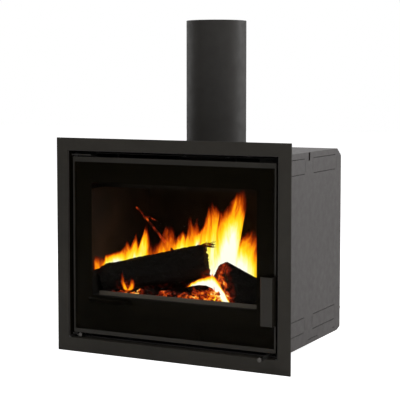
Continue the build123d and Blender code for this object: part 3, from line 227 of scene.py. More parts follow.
def bare_metal(name, colour, roughness=0.3):
    """Turned or drawn metal with a fine grain and dull stains."""
    made = Finish(name, colour, roughness, 1.0)
    stain = made.noise(0.02, 5.0, 0.6)
    made.to(made.mix(made.levels(stain, 0.4, 0.75), colour, shade(colour, 0.6)), "Base Color")
    made.to(made.levels(made.noise(0.003, 4.0), 0.3, 0.7, roughness - 0.08, roughness + 0.15), "Roughness")
    made.bump(made.noise(0.0007, 3.0, 0.6), 0.00003)
    return made.material


def casting(name, colour):
    """Rough cast iron with sand grain and patches of rust."""
    made = Finish(name, colour, 0.72)
    rust = made.levels(made.noise(0.03, 6.0, 0.65), 0.5, 0.72)
    made.to(made.mix(rust, colour, (0.07, 0.03, 0.014)), "Base Color")
    made.bump(made.noise(0.0022, 5.0, 0.6), 0.0003)
    return made.material


def vermiculite_board(name, colour):
    """Pressed vermiculite: coarse flakes under patches of soot."""
    made = Finish(name, colour, 0.95)
    flakes = made.cells(0.0045, output="Color")
    tone = made.mix(made.levels(flakes, 0.0, 1.0), shade(colour, 0.7), shade(colour, 1.35))
    soot = made.levels(made.noise(0.09, 7.0, 0.62), 0.34, 0.62)
    made.to(made.mix(soot, tone, (0.0035, 0.003, 0.0024)), "Base Color")
    made.bump(made.cells(0.003), 0.0006)
    return made.material


def fibre_weave(name, colour):
    """Knitted glass fibre, sooted here and there."""
    made = Finish(name, colour, 0.95)
    knit = made.cells(0.0018)
    soot = made.levels(made.noise(0.04, 5.0), 0.4, 0.7)
    tone = made.mix(made.levels(knit, 0.0, 0.6), shade(colour, 1.25), shade(colour, 0.5))
    made.to(made.mix(soot, tone, shade(colour, 0.25)), "Base Color")
    made.bump(knit, 0.0006, 0.9)
    made.set("Sheen Weight", 0.3)
    return made.material


def moulded(name, colour):
    """Moulded nylon with a spark-eroded grain."""
    made = Finish(name, colour, 0.5)
    clouds = made.levels(made.noise(0.01, 4.0), 0.3, 0.7)
    made.to(made.mix(clouds, shade(colour, 0.8), shade(colour, 1.3)), "Base Color")
    made.bump(made.noise(0.0006, 2.0), 0.00005)
    return made.material


def ceramic_glass():
    """Clear ceramic glass: see-through, faintly smoky, with a dark gloss."""
    made = Finish("door_glass", (0.004, 0.0036, 0.0026), 0.05)
    clear = made.node("ShaderNodeBsdfTransparent")
    clear.inputs["Color"].default_value = (0.96, 0.955, 0.94, 1.0)
    blend = made.node("ShaderNodeMixShader")
    film = made.levels(made.noise(0.12, 5.0, 0.6), 0.35, 0.75, 0.018, 0.034)
    made.feed(film, blend.inputs["Fac"])
    made.feed(clear.outputs[0], blend.inputs[1])
    made.feed(made.shader.outputs[0], blend.inputs[2])
    made.feed(blend.outputs[0], made.tree.nodes["Material Output"].inputs["Surface"])
    return made.material


def enamel():
    """The fired black print behind the glass; its black also colours the sheets inside the side panels, where
    it is painted shade.
    """
    made = Finish("glass_enamel", (0.0042, 0.0036, 0.0018), 0.2)
    made.set("Specular IOR Level", 0.06)
    made.to(made.mix(made.noise(0.05, 4.0), (0.0046, 0.0034, 0.0013), (0.0074, 0.0055, 0.0023)), "Base Color")
    made.bump(made.noise(0.012, 3.0), 0.00002)
    return made.material


def smoulder(name, plate, crack_width, ash_share):
    """Charred wood: black plates, a little grey ash, and a glow that is strongest in the cracks."""
    made = Finish(name, (0.006, 0.005, 0.004), 0.9)
    made.set("Specular IOR Level", 0.2)
    burning = made.node("ShaderNodeAttribute", attribute_name="burning").outputs["Fac"]
    shifted = made.shaken(plate * 0.9, plate * 0.9)
    edge = made.cells(plate, feature="DISTANCE_TO_EDGE", vector=shifted)
    crack = made.levels(edge, 0.0, crack_width, 1.0, 0.0)
    fine = made.noise(plate * 0.35, 6.0, 0.7)
    ash = made.levels(made.noise(plate * 2.2, 7.0, 0.7), 0.66 - ash_share, 0.86 - ash_share)
    tone = made.mix(made.levels(fine, 0.3, 0.7), (0.0022, 0.0018, 0.0014), (0.0085, 0.0066, 0.005))
    made.to(made.mix(ash, tone, (0.040, 0.034, 0.030)), "Base Color")
    patches = made.levels(made.noise(plate * 1.1, 3.0, 0.55), 0.36, 0.62, 0.05, 1.25)
    lively = made.math("MULTIPLY", burning, patches)
    glow = made.math("MULTIPLY", lively, made.math("ADD", made.math("MULTIPLY", crack, 0.30), 0.62))
    stops = [
        (0.05, (0.0, 0.0, 0.0)),
        (0.14, (0.06, 0.004, 0.001)),
        (0.30, (0.30, 0.020, 0.003)),
        (0.50, (0.78, 0.11, 0.008)),
        (0.74, (1.0, 0.36, 0.03)),
        (1.0, (1.0, 0.70, 0.19)),
    ]
    made.to(made.ramp(glow, stops), "Emission Color")
    made.set("Emission Strength", 1.1)
    made.bump(made.math("SUBTRACT", fine, made.math("MULTIPLY", crack, 0.8)), plate * 0.12, 0.9)
    made.material.cycles.emission_sampling = "NONE"
    return made.material


# ---------------------------------------------------------------- finishes of the CAD nodes

finishes = {
    "flange_paint": painted("flange_paint", (0.0292, 0.0250, 0.0184), 0.55),
    "casing_paint": sheet_steel("casing_paint", (0.063, 0.0552, 0.0530), 0.5, 0.0),
    "galvanised": sheet_steel("galvanised", (0.42, 0.43, 0.44), 0.38, 0.8),
    "firebox_steel": painted("firebox_steel", (0.030, 0.027, 0.024), 0.7, 0.0014, 0.00012, 0.3),
    "vermiculite": vermiculite_board("vermiculite", (0.022, 0.017, 0.012)),
    "cast_grate": casting("cast_grate", (0.045, 0.043, 0.041)),
    "door_paint": painted("door_paint", (0.0250, 0.0212, 0.0154), 0.45),
    "door_glass": ceramic_glass(),
    "glass_enamel": enamel(),
    "fibre": fibre_weave("fibre", (0.32, 0.31, 0.28)),
    "bright_steel": bare_metal("bright_steel", (0.52, 0.51, 0.50)),
    "knob_steel": bare_metal("knob_steel", (0.17, 0.16, 0.15), 0.3),
    "brass": bare_metal("brass", (0.72, 0.52, 0.24), 0.28),
    "plastic": moulded("plastic", (0.014, 0.013, 0.012)),
    "flue_paint": painted("flue_paint", (0.025, 0.0222, 0.0190), 0.6, 0.0011, 0.00008),
    "charred_wood": smoulder("charred_wood", 0.020, 0.10, 0.0),
    "embers": smoulder("embers", 0.011, 0.16, 0.03),
}
own_finish = {
    "log_guard": painted("guard_steel", (0.200, 0.178, 0.148), 0.5, 0.0007, 0.00004, 0.12),
    # hinge_black also colours the strips under the side panels, where its black is painted shade
    "hinge_pins": painted("hinge_black", (0.014, 0.0125, 0.0105), 0.5),
}
own_finish["hinge_washers"] = own_finish["hinge_pins"]
for part in frame["record"]["subparts"]:
    node = frame["nodes"][part["node"]]
    node.data.materials.clear()
    node.data.materials.append(own_finish.get(part["node"], finishes[part["material_slot"]]))


# ---------------------------------------------------------------- meshes


def taken(shape):
    """The vertices and faces of a bmesh, which is freed."""
    shape.verts.index_update()
    vertices = [vertex.co.copy() for vertex in shape.verts]
    faces = [tuple(vertex.index for vertex in face.verts) for face in shape.faces]
    shape.free()
    return vertices, faces


def joined(parts):
    """Several (vertices, faces) as one."""
    vertices, faces = [], []
    for more, quads in parts:
        faces += [tuple(len(vertices) + corner for corner in quad) for quad in quads]
        vertices += more
    return vertices, faces


def mesh_object(name, vertices, faces, material):
    """A mesh object with one material, linked to the scene."""
    mesh = bpy.data.meshes.new(name)
    mesh.from_pydata(vertices, [], faces)
    mesh.materials.append(material)
    made = bpy.data.objects.new(name, mesh)
    bpy.context.scene.collection.objects.link(made)
    return made


# ---------------------------------------------------------------- black sheets and strips of the casing, painted shade

CASING_SHEET = 0.002
SIDE_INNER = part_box("casing_side_right")[1].x - CASING_SHEET
BASE_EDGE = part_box("casing_base")[1].x
BASE_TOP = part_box("casing_base")[1].z
SHADE_SHEET_AIR = 0.0001
SHADE_SHEET_THICK = 0.0003
SHADE_SHEET_BEVEL = 0.00008
SHADE_SHEET_DEPTH = (0.0036, 0.430)
SHADE_SHEET_Z = (BASE_TOP + 0.0024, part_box("casing_top")[1].z - 0.0026)
SHADE_STRIP_SIDE_AIR = 0.0003
SHADE_STRIP_Z_AIR = 0.0002
SHADE_STRIP_REACH = 0.0019          # how far a strip comes out from the plane of the panel's inner face
SHADE_STRIP_BEVEL = 0.0006
SHADE_STRIP_DEPTH = (0.0005, 0.060)


def slab(low, high, bevel):
    """The vertices and faces of a box with bevelled edges."""
    shape = bmesh.new()
    bmesh.ops.create_cube(shape, size=1.0)
    for vertex in shape.verts:
        vertex.co = Vector([high[i] if vertex.co[i] > 0 else low[i] for i in range(3)])
    bmesh.ops.bevel(shape, geom=shape.edges, offset=bevel, segments=2, profile=0.5, affect="EDGES")
    return taken(shape)


def each_side(x_low, x_high, depth, z, bevel):
    """The same slab at both sides of the insert."""
    parts = []
    for side in (-1, 1):
        x = sorted((side * x_low, side * x_high))
        parts.append(slab((x[0], at(depth[0]), z[0]), (x[1], at(depth[1]), z[1]), bevel))
    return joined(parts)


def fixed_piece(name, shape, material):
    """A mesh object that stays with the casing."""
    made = mesh_object(name, *shape, material)
    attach(made, "root")


# Thin black sheets inside the side panels, so that no light comes through their slits; their black is painted
# shade seen through the slits
shade_sheet_x = (SIDE_INNER - SHADE_SHEET_AIR - SHADE_SHEET_THICK, SIDE_INNER - SHADE_SHEET_AIR)
painted_shade_sheets = each_side(*shade_sheet_x, SHADE_SHEET_DEPTH, SHADE_SHEET_Z, SHADE_SHEET_BEVEL)
fixed_piece("side_painted_shade_sheets", painted_shade_sheets, finishes["glass_enamel"])
# Black strips beside the base, under each side panel, that fill the step there with painted shade
shade_strip_x = (BASE_EDGE + SHADE_STRIP_SIDE_AIR, SIDE_INNER + SHADE_STRIP_REACH)
shade_strip_z = (SHADE_STRIP_Z_AIR, BASE_TOP - SHADE_STRIP_Z_AIR)
painted_shade_strips = each_side(*shade_strip_x, SHADE_STRIP_DEPTH, shade_strip_z, SHADE_STRIP_BEVEL)
fixed_piece("sill_painted_shade_strips", painted_shade_strips, own_finish["hinge_pins"])


# ---------------------------------------------------------------- the fire: helpers

PHOTO_SIZE = 400
SENSOR = 36.0
WIDTH_STEP = 0.00228         # metres for each step of a tongue's given width
FIRE = "fire_bed"


def seen_at(pixel, depth):
    """The place at a depth that the photograph shows at a pixel of its 400 by 400."""
    azimuth, pitch = math.radians(CAMERA_AZIMUTH), math.radians(CAMERA_PITCH)
    level = Vector((-math.sin(azimuth), math.cos(azimuth), 0.0))
    forward = level * math.cos(pitch) - Vector((0.0, 0.0, math.sin(pitch)))
    across = Vector((math.cos(azimuth), math.sin(azimuth), 0.0))
    upward = across.cross(forward)
    scale = CAMERA_LENS / SENSOR * PHOTO_SIZE
    middle = PHOTO_SIZE / 2
    rise = middle + CAMERA_SHIFT * PHOTO_SIZE - pixel[1]
    ray = forward + across * (pixel[0] - middle) / scale + upward * rise / scale
    start = Vector(CAMERA_PLACE)
    return start + ray * ((at(depth) - start.y) / ray.y)


def between(low, high, share):
    return low + (high - low) * share


def along(points, share):
    """A place at a share of the way along straight lines through points."""
    t = share * (len(points) - 1)
    first = min(int(t), len(points) - 2)
    return points[first].lerp(points[first + 1], t - first)


def new_piece(name, vertices, faces, material, burning, smooth=True):
    """A mesh object that rides on the fire bed, with how strongly each vertex burns."""
    made = mesh_object(name, vertices, faces, material)
    if smooth:
        made.data.shade_smooth()
    made.data.attributes.new("burning", "FLOAT", "POINT").data.foreach_set("value", burning)
    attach(made, FIRE)
    return made


# Where wood glows: a pixel, its depth, how far the glow reaches, and how strong it is
HOT_SPOTS = [
    ((219, 278), 0.092, 0.028, 0.80),
    ((226, 268), 0.090, 0.016, 0.62),
    ((224, 296), 0.080, 0.022, 0.55),
    ((212, 247), 0.140, 0.020, 0.60),
    ((210, 277), 0.130, 0.024, 0.30),
    ((212, 296), 0.072, 0.045, 0.80),
    ((222, 300), 0.070, 0.020, 0.45),
    ((194, 294), 0.074, 0.016, 0.75),
    ((137, 293), 0.066, 0.014, 1.80),
    ((124, 293), 0.066, 0.028, 0.55),
    ((165, 293), 0.070, 0.020, 0.50),
    ((183, 297), 0.070, 0.018, 0.65),
    ((97, 267), 0.075, 0.020, 0.22),
]
HOT_PLACES = [(seen_at(pixel, depth), reach, strength) for pixel, depth, reach, strength in HOT_SPOTS]


def burning_at(place):
    """How strongly wood burns at a place."""
    return sum(
        strength * math.exp(-(((place - spot).length / reach) ** 2))
        for spot, reach, strength in HOT_PLACES
    )


# ---------------------------------------------------------------- logs

BARK = finishes["charred_wood"]
LONGEST_EDGE = 0.0055
HALVINGS = 6
# Relief of charred wood in metres, and the scale of the noise that each kind follows
RIDGE_HEIGHT, RIDGE_SCALE = 0.0022, 75
SWELL_HEIGHT, SWELL_SCALE = 0.0032, 17
GROOVE_DEPTH, PLATE_SCALE, GROOVE_STEEPNESS = 0.0026, 46, 6
TORN_SCALE = 110
GRAIN_STRETCH = 0.78         # share of the way along a log that ridges and swells ignore, so they run long
SINK = 0.001                 # how far the whole surface is drawn in


def fine_mesh(node):
    """A node's mesh as a bmesh whose edges are all short."""
    shape = bmesh.new()
    shape.from_mesh(frame["nodes"][node].data)
    bmesh.ops.remove_doubles(shape, verts=shape.verts, dist=0.00001)
    bmesh.ops.triangulate(shape, faces=shape.faces)
    for _ in range(HALVINGS):
        too_long = [edge for edge in shape.edges if edge.calc_length() > LONGEST_EDGE]
        bmesh.ops.subdivide_edges(shape, edges=too_long, cuts=1)
        bmesh.ops.triangulate(shape, faces=[face for face in shape.faces if len(face.verts) > 3])
    return shape


def charred_log(name, node, axis, seed, roundness, raggedness):
    """A log with bark plates and broken ends, in the place of a node."""
    shape = fine_mesh(node)
    for _ in range(roundness):
        bmesh.ops.smooth_vert(
            shape, verts=shape.verts, factor=0.5, use_axis_x=True, use_axis_y=True, use_axis_z=True
        )
    shape.normal_update()
    axis = Vector(axis).normalized()
    moves = []
    for vertex in shape.verts:
        place, normal = vertex.co, vertex.normal
        end_on = abs(normal.dot(axis)) ** 2
        grain_place = place - axis * place.dot(axis) * GRAIN_STRETCH + Vector((seed, 0.0, 0.0))
        ridge = noise.fractal(grain_place * RIDGE_SCALE, 1.0, 2.0, 4) * RIDGE_HEIGHT
        swell = noise.noise(grain_place * SWELL_SCALE) * SWELL_HEIGHT
        near = noise.voronoi(place * PLATE_SCALE + Vector((0.0, seed, 0.0)))[0]
        groove = -GROOVE_DEPTH * max(0.0, 1 - (near[1] - near[0]) * GROOVE_STEEPNESS)
        tear = noise.fractal(place * TORN_SCALE + Vector((0.0, 0.0, seed)), 0.8, 2.0, 4)
        torn = tear * raggedness * end_on
        moves.append(normal * (ridge + swell + groove - SINK) + axis * torn)
    for vertex, move in zip(shape.verts, moves):
        vertex.co += move
    vertices, faces = taken(shape)
    made = new_piece(name, vertices, faces, BARK, [burning_at(vertex) for vertex in vertices])
    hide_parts(node)


charred_log("main_log_bark", "log_main", (0.330, 0.050, 0.072), 1.7, 2, 0.008)
charred_log("split_log_bark", "log_right", (1.0, 0.02, -0.3), 4.1, 1, 0.005)
charred_log("rear_log_bark", "logs_behind", (1.0, 0.0, 0.0), 7.9, 2, 0.004)


SPLINTERS = 26
SPLINTER_STEPS = 6


def splinters():
    """Torn bark that curls up from the long log's right end, aglow."""
    chance = random.Random(5)
    vertices, faces, burning = [], [], []
    for _ in range(SPLINTERS):
        back = chance.uniform(-0.5, 2.4)
        pixel = (between(203, 211, chance.random()), between(244, 247, chance.random()))
        root = seen_at(pixel, 0.121 + 0.006 * back)
        length, width = chance.uniform(0.012, 0.030), chance.uniform(0.0016, 0.0042)
        lean = Vector((chance.uniform(0.5, 1.0), chance.uniform(-0.5, 0.4), chance.uniform(-0.25, 0.55)))
        lean.normalize()
        side = lean.cross(Vector((0.0, -0.6, 1.0))).normalized()
        first = len(vertices)
        for step in range(SPLINTER_STEPS + 1):
            v = step / SPLINTER_STEPS
            middle = root + lean * length * v + Vector((0.0, 0.0, chance.uniform(-0.4, 0.9) * 0.006 * v * v))
            half = side * width * (1 - v) ** 0.7
            vertices += [middle - half, middle + half]
            burning += [0.16 + 0.30 * v, 0.22 + 0.34 * v]
        for step in range(SPLINTER_STEPS):
            a = first + step * 2
            faces.append((a, a + 1, a + 3, a + 2))
    new_piece("bark_splinters", vertices, faces, BARK, burning)


splinters()

# A thin branch and its side shoot: a pixel and its depth at each bend
TWIG = [
    ((174, 253), 0.130),
    ((164.5, 241), 0.160),
    ((155, 229), 0.204),
    ((145.5, 217.5), 0.250),
    ((136.5, 207), 0.292),
]
TWIG_BRANCH = [
    ((145, 217.3), 0.251),
    ((150, 216.5), 0.240),
    ((157, 221), 0.225),
]


def twig(name, line, thick, burning):
    """A thin burnt branch along a line, thinner towards its end."""
    points = [seen_at(pixel, depth) for pixel, depth in line]
    rings, sides = 40, 7
    vertices, faces, glow = [], [], []
    for ring in range(rings + 1):
        v = ring / rings
        middle = along(points, v)
        middle += noise.noise_vector(middle * 38) * 0.0022
        radius = thick * (1 - 0.55 * v) * (1 + 0.35 * noise.noise(middle * 160))
        for side in range(sides):
            angle = 2 * math.pi * side / sides
            vertices.append(middle + Vector((math.cos(angle) * 0.75, 0.0, math.sin(angle))) * radius)
            glow.append(burning * (0.55 + 0.8 * abs(noise.noise(middle * 60))))
    for ring in range(rings):
        for side in range(sides):
            a, b = ring * sides + side, ring * sides + (side + 1) % sides
            faces.append((a, b, b + sides, a + sides))
    faces.append(tuple(range(sides - 1, -1, -1)))
    faces.append(tuple(range(rings * sides, (rings + 1) * sides)))
    new_piece(name, vertices, faces, BARK, glow)


twig("twig", TWIG, 0.0062, 0.52)
twig("twig_branch", TWIG_BRANCH, 0.0032, 0.40)


# ---------------------------------------------------------------- embers

GLOWING = finishes["embers"]
BED_SINK = 0.004             # how deep embers lie in the bed
LUMP_POINTS = 16
LUMP_SIZES = (0.0055, 0.0125)
LAYER_RISE = 0.0105
LUMP_AIR = 0.0004
GUARD_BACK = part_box("log_guard")[1].y
GUARD_WALL_BACK = 0.0565     # depth of the upright lip's rear face, with a little air
GUARD_FOOT_TOP = HEARTH_Z + 0.0022


def ember_floor(place):
    """The height on which embers lie at a place."""
    if EMBER_LOW.x < place.x < EMBER_HIGH.x and EMBER_LOW.y < place.y < EMBER_HIGH.y:
        return EMBER_HIGH.z - BED_SINK
    return GUARD_FOOT_TOP if place.y < GUARD_BACK else HEARTH_Z


def lump(centre, size, chance):
    """One irregular piece of charcoal, as the hull of scattered points."""
    shape = bmesh.new()
    for _ in range(LUMP_POINTS):
        way = Vector((chance.gauss(0, 1), chance.gauss(0, 1), chance.gauss(0, 1))).normalized()
        reach = chance.uniform(0.78, 1.0)
        shape.verts.new((way.x * size * reach, way.y * size * 0.85 * reach, way.z * size * 0.66 * reach))
    hull = bmesh.ops.convex_hull(shape, input=shape.verts)
    bmesh.ops.delete(shape, geom=list({item for item in hull["geom_interior"]}), context="VERTS")
    bmesh.ops.subdivide_edges(shape, edges=shape.edges, cuts=1, use_grid_fill=True)
    low = min(vertex.co.z for vertex in shape.verts)
    spin = Matrix.Rotation(chance.uniform(0, 2 * math.pi), 3, "Z")
    foot = Vector((centre.x, centre.y, centre.z - low))
    for vertex in shape.verts:
        place = spin @ vertex.co + foot
        vertex.co = place + noise.noise_vector(place * 190) * size * 0.09
    return taken(shape)


# Heaps of embers: middle x and depth, half width, half depth, layers and pieces in each
EMBER_HEAPS = [
    (-0.190, 0.068, 0.060, 0.008, 1, 16),
    (-0.120, 0.069, 0.055, 0.009, 2, 18),
    (-0.020, 0.070, 0.060, 0.010, 2, 20),
    (0.060, 0.073, 0.040, 0.012, 3, 16),
    (0.115, 0.077, 0.045, 0.016, 3, 18),
    (0.095, 0.120, 0.045, 0.024, 3, 18),
    (0.000, 0.235, 0.150, 0.030, 2, 26),
    (0.210, 0.180, 0.055, 0.035, 2, 18),
    (0.200, 0.065, 0.060, 0.004, 1, 10),
    (-0.130, 0.200, 0.040, 0.060, 2, 20),
]
# The embers keep this much further from the guard near the burning stick's foot
STICK_FOOT = seen_at((225, 300), 0.060)
STICK_REACH = 0.024
STICK_ROOM = 0.010


def embers():
    """Heaps of glowing charcoal on the bed and in front of it."""
    chance = random.Random(11)
    lumps, burning = [], []
    for x, depth, half_x, half_depth, layers, count in EMBER_HEAPS:
        for layer in range(layers):
            spread = 1 - 0.25 * layer
            for _ in range(count):
                size = chance.uniform(*LUMP_SIZES)
                across = x + chance.uniform(-1, 1) * half_x * spread
                place = Vector((across, at(depth + chance.uniform(-1, 1) * half_depth * spread), 0.0))
                room = STICK_ROOM if abs(place.x - STICK_FOOT.x) < STICK_REACH else 0.0
                place.y = max(place.y, at(GUARD_WALL_BACK + room) + size)
                place.z = ember_floor(place) + LUMP_AIR + layer * LAYER_RISE + chance.uniform(0, 0.002)
                lumps.append(lump(place, size, chance))
                mood = chance.uniform(0.55, 1.25)
                burning += [(burning_at(vertex) + 0.10) * mood for vertex in lumps[-1][0]]
    new_piece("ember_lumps", *joined(lumps), GLOWING, burning, smooth=False)


def ember_ash():
    """The bed of crushed charcoal and ash under the lumps, in the place of its node."""
    shape = fine_mesh("ember_bed")
    for vertex in shape.verts:
        if vertex.co.z > EMBER_LOW.z + 0.002:
            vertex.co.z += noise.fractal(vertex.co * 60, 0.9, 2.0, 4) * 0.003 - 0.001
    vertices, faces = taken(shape)
    burning = [burning_at(vertex) * 0.9 + 0.06 for vertex in vertices]
    made = new_piece("ember_ash", vertices, faces, GLOWING, burning)
    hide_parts("ember_bed")


embers()
ember_ash()


# ---------------------------------------------------------------- flames

FLAME_SCALE = 0.56           # a flame's heat times this is its place on the colour ramp


def flame_finish():
    """Burning gas: red where it is thin, then orange, yellow and white."""
    made = Finish("flame", (0.0, 0.0, 0.0), 1.0)
    made.set("Specular IOR Level", 0.0)
    burning = made.node("ShaderNodeAttribute", attribute_name="burning").outputs["Fac"]
    lick = made.noise(0.034, 3.0, 0.55, 1.2, made.stretched((1.0, 1.0, 0.26)))
    wisp = made.noise(0.011, 3.0, 0.6, 0.8, made.stretched((1.0, 1.0, 0.18)))
    broad = made.levels(lick, 0.25, 0.75, -0.30, 0.24)
    fine = made.levels(wisp, 0.25, 0.75, -0.12, 0.10)
    uneven = made.math("ADD", broad, fine)
    livelier = made.math("ADD", made.math("MULTIPLY", burning, 0.38), 0.80)
    hot = made.math("ADD", burning, made.math("MULTIPLY", uneven, livelier))
    stops = [
        (0.032, (0.34, 0.012, 0.001)),
        (0.136, (0.72, 0.055, 0.003)),
        (0.24, (0.98, 0.15, 0.004)),
        (0.336, (1.0, 0.30, 0.005)),
        (0.44, (1.0, 0.54, 0.007)),
        (0.56, (1.0, 0.74, 0.018)),
        (0.68, (1.0, 0.88, 0.12)),
        (0.80, (1.0, 0.96, 0.40)),
        (0.95, (1.0, 1.0, 0.86)),
    ]
    made.to(made.ramp(made.math("MULTIPLY", hot, FLAME_SCALE), stops), "Emission Color")
    made.set("Emission Strength", 1.2)
    thickness = made.levels(hot, 0.02, 0.60)
    made.to(made.math("POWER", thickness, 1.5), "Alpha")
    made.material.cycles.emission_sampling = "NONE"
    return made.material


FLAME = flame_finish()
SHEET_ROWS = 18
COLUMN_SPLITS = 5            # how many strips a sheet has between two of its given columns


def flame_sheet(name, columns, billow):
    """A sheet of flame. Each column has its root and tip pixels, its depth and its root's heat."""
    vertices, burning, faces = [], [], []
    count = (len(columns) - 1) * COLUMN_SPLITS
    for number in range(count + 1):
        t = number / count * (len(columns) - 1)
        left = min(int(t), len(columns) - 2)
        share = t - left
        (root_a, tip_a, depth_a, heat_a), (root_b, tip_b, depth_b, heat_b) = columns[left], columns[left + 1]
        root = Vector(root_a).lerp(Vector(root_b), share)
        tip = Vector(tip_a).lerp(Vector(tip_b), share)
        depth, heat = between(depth_a, depth_b, share), between(heat_a, heat_b, share)
        border = min(1.0, 0.1 + 0.22 * min(number, count - number))
        for row in range(SHEET_ROWS + 1):
            v = row / SHEET_ROWS
            flutter = noise.noise(Vector((root.x * 0.22, v * 3.0, len(name)))) * v
            pixel = root.lerp(tip, v) + Vector((flutter * 2.2, 0.0))
            place = seen_at(pixel, depth + flutter * billow)
            vertices.append(place)
            burning.append(heat * border * (1 - v ** 1.5) * (1 - 0.12 * v))
    row_size = SHEET_ROWS + 1
    for number in range(count):
        for row in range(SHEET_ROWS):
            a = number * row_size + row
            faces.append((a, a + 1, a + row_size + 1, a + row_size))
    return vertices, faces, burning


def tongue(line, width, depth, heat, yaw, seed):
    """A narrow flame along root, middle and tip pixels: width in steps, yaw about Z in degrees."""
    across_count, rows = 6, 16
    points = [seen_at(pixel, depth) for pixel in line]
    turn = math.radians(CAMERA_AZIMUTH + yaw)
    across = Vector((math.cos(turn), math.sin(turn), 0.0))
    half = width * WIDTH_STEP / 2 / math.cos(math.radians(yaw))
    vertices, burning, faces = [], [], []
    for row in range(rows + 1):
        v = row / rows
        first, second = points[0].lerp(points[1], v), points[1].lerp(points[2], v)
        middle = first.lerp(second, v)
        sway = Vector((noise.noise(Vector((v * 3, seed, 0))), noise.noise(Vector((v * 3, seed, 9))), 0))
        middle += sway * 0.012 * v
        swell = (1 - v) ** 0.8 * (1 + 1.1 * v)
        for column in range(across_count + 1):
            u = column / across_count * 2 - 1
            vertices.append(middle + across * u * half * swell)
            burning.append(heat * (1 - u * u) ** 0.9 * (1 - v ** 1.6) * min(1.0, 0.3 + 5 * v))
    size = across_count + 1
    for row in range(rows):
        for column in range(across_count):
            a = row * size + column
            faces.append((a, a + 1, a + size + 1, a + size))
    return vertices, faces, burning


# Flames over the long log, between the logs, on the embers and along a stick: root, tip, depth, heat
FLAMES_OVER_LOG = [
    ((93.6, 270), (93.6, 255), 0.058, 0.60),
    ((96, 269), (96, 255), 0.063, 0.62),
    ((100, 268), (100, 256), 0.074, 0.56),
    ((103.5, 266), (103.5, 256.5), 0.088, 0.66),
    ((106, 265), (106, 254.5), 0.098, 1.45),
    ((112, 264), (113, 252), 0.105, 1.60),
    ((118, 262), (120, 250), 0.109, 1.55),
    ((122, 262), (124, 246), 0.111, 1.25),
    ((125, 261), (127.5, 239), 0.112, 1.00),
    ((129, 261), (131, 243), 0.114, 1.40),
    ((132, 260), (137.5, 229), 0.116, 1.35),
    ((136, 260), (139.5, 242), 0.118, 1.60),
    ((140, 259), (146.5, 223), 0.120, 1.65),
    ((143, 259), (149.5, 225), 0.122, 1.25),
    ((145.5, 258), (151, 236), 0.124, 0.74),
    ((149, 258), (153, 243), 0.126, 0.46),
    ((153, 257), (158, 243), 0.128, 0.44),
    ((157, 257), (162, 236), 0.130, 0.56),
    ((162, 256), (165.5, 225), 0.132, 0.66),
    ((167, 255), (171.5, 222), 0.135, 0.72),
    ((172, 254), (175, 231), 0.138, 0.84),
    ((176, 253), (178.5, 236), 0.140, 1.20),
    ((180, 252), (183.5, 228), 0.142, 1.50),
    ((184, 251), (187, 235), 0.144, 1.10),
    ((188, 250), (189.5, 215), 0.147, 1.05),
    ((192, 249), (193, 219), 0.149, 1.15),
    ((197, 248), (198, 230), 0.151, 1.55),
    ((202, 247), (204, 222), 0.153, 1.60),
    ((207, 246), (208, 222), 0.155, 1.10),
]
FLAMES_BETWEEN = [
    ((196, 252), (201, 230), 0.151, 1.00),
    ((201, 254), (205, 217), 0.148, 1.45),
    ((205, 266), (208.5, 206), 0.142, 1.45),
    ((208, 274), (212.5, 200), 0.135, 1.55),
    ((211, 277), (216.5, 200), 0.129, 1.75),
    ((215, 277), (219.5, 208), 0.125, 1.85),
    ((218, 276), (223, 211), 0.121, 1.90),
    ((221, 272), (227, 205), 0.118, 2.05),
    ((224, 268), (232, 200), 0.116, 2.20),
    ((227, 266), (237, 192), 0.114, 2.30),
    ((230, 266), (242.5, 188), 0.112, 2.20),
    ((232.5, 267), (246, 190), 0.111, 1.90),
    ((234.5, 268), (248, 204), 0.110, 1.65),
    ((236, 269), (243, 224), 0.109, 1.70),
    ((238, 270), (239, 241), 0.108, 2.00),
    ((241, 273), (242.5, 234), 0.107, 2.00),
    ((245, 276), (247, 231), 0.106, 1.85),
    ((249, 279), (251, 229), 0.105, 1.70),
    ((253, 282), (254.5, 227), 0.105, 1.35),
    ((257, 285), (258, 228), 0.105, 1.05),
    ((263, 288), (263, 232), 0.105, 0.85),
]
FLAMES_ON_EMBERS = [
    ((196, 302), (203, 288), 0.078, 0.60),
    ((204, 303), (209, 287), 0.077, 0.90),
    ((211, 304), (213, 285), 0.076, 1.10),
    ((218, 304), (216, 284), 0.075, 1.40),
    ((225, 305), (219, 286), 0.074, 1.40),
    ((232, 306), (223, 290), 0.073, 1.00),
]
FLAMES_ON_STICK = [
    ((186, 287.5), (186, 284), 0.086, 0.90),
    ((192, 286), (192, 281.5), 0.085, 1.60),
    ((199, 285), (199, 278.5), 0.084, 2.20),
    ((206, 285.5), (206, 276), 0.082, 2.60),
    ((212, 288), (212, 273), 0.079, 2.80),
    ((217, 294), (215.5, 275), 0.073, 2.80),
    ((221, 299), (219.5, 281), 0.067, 2.80),
    ((225, 303), (223.5, 289), 0.062, 2.60),
    ((228.5, 305.5), (227.5, 297), 0.059, 2.20),
    ((231, 306.5), (231, 303), 0.058, 1.60),
]

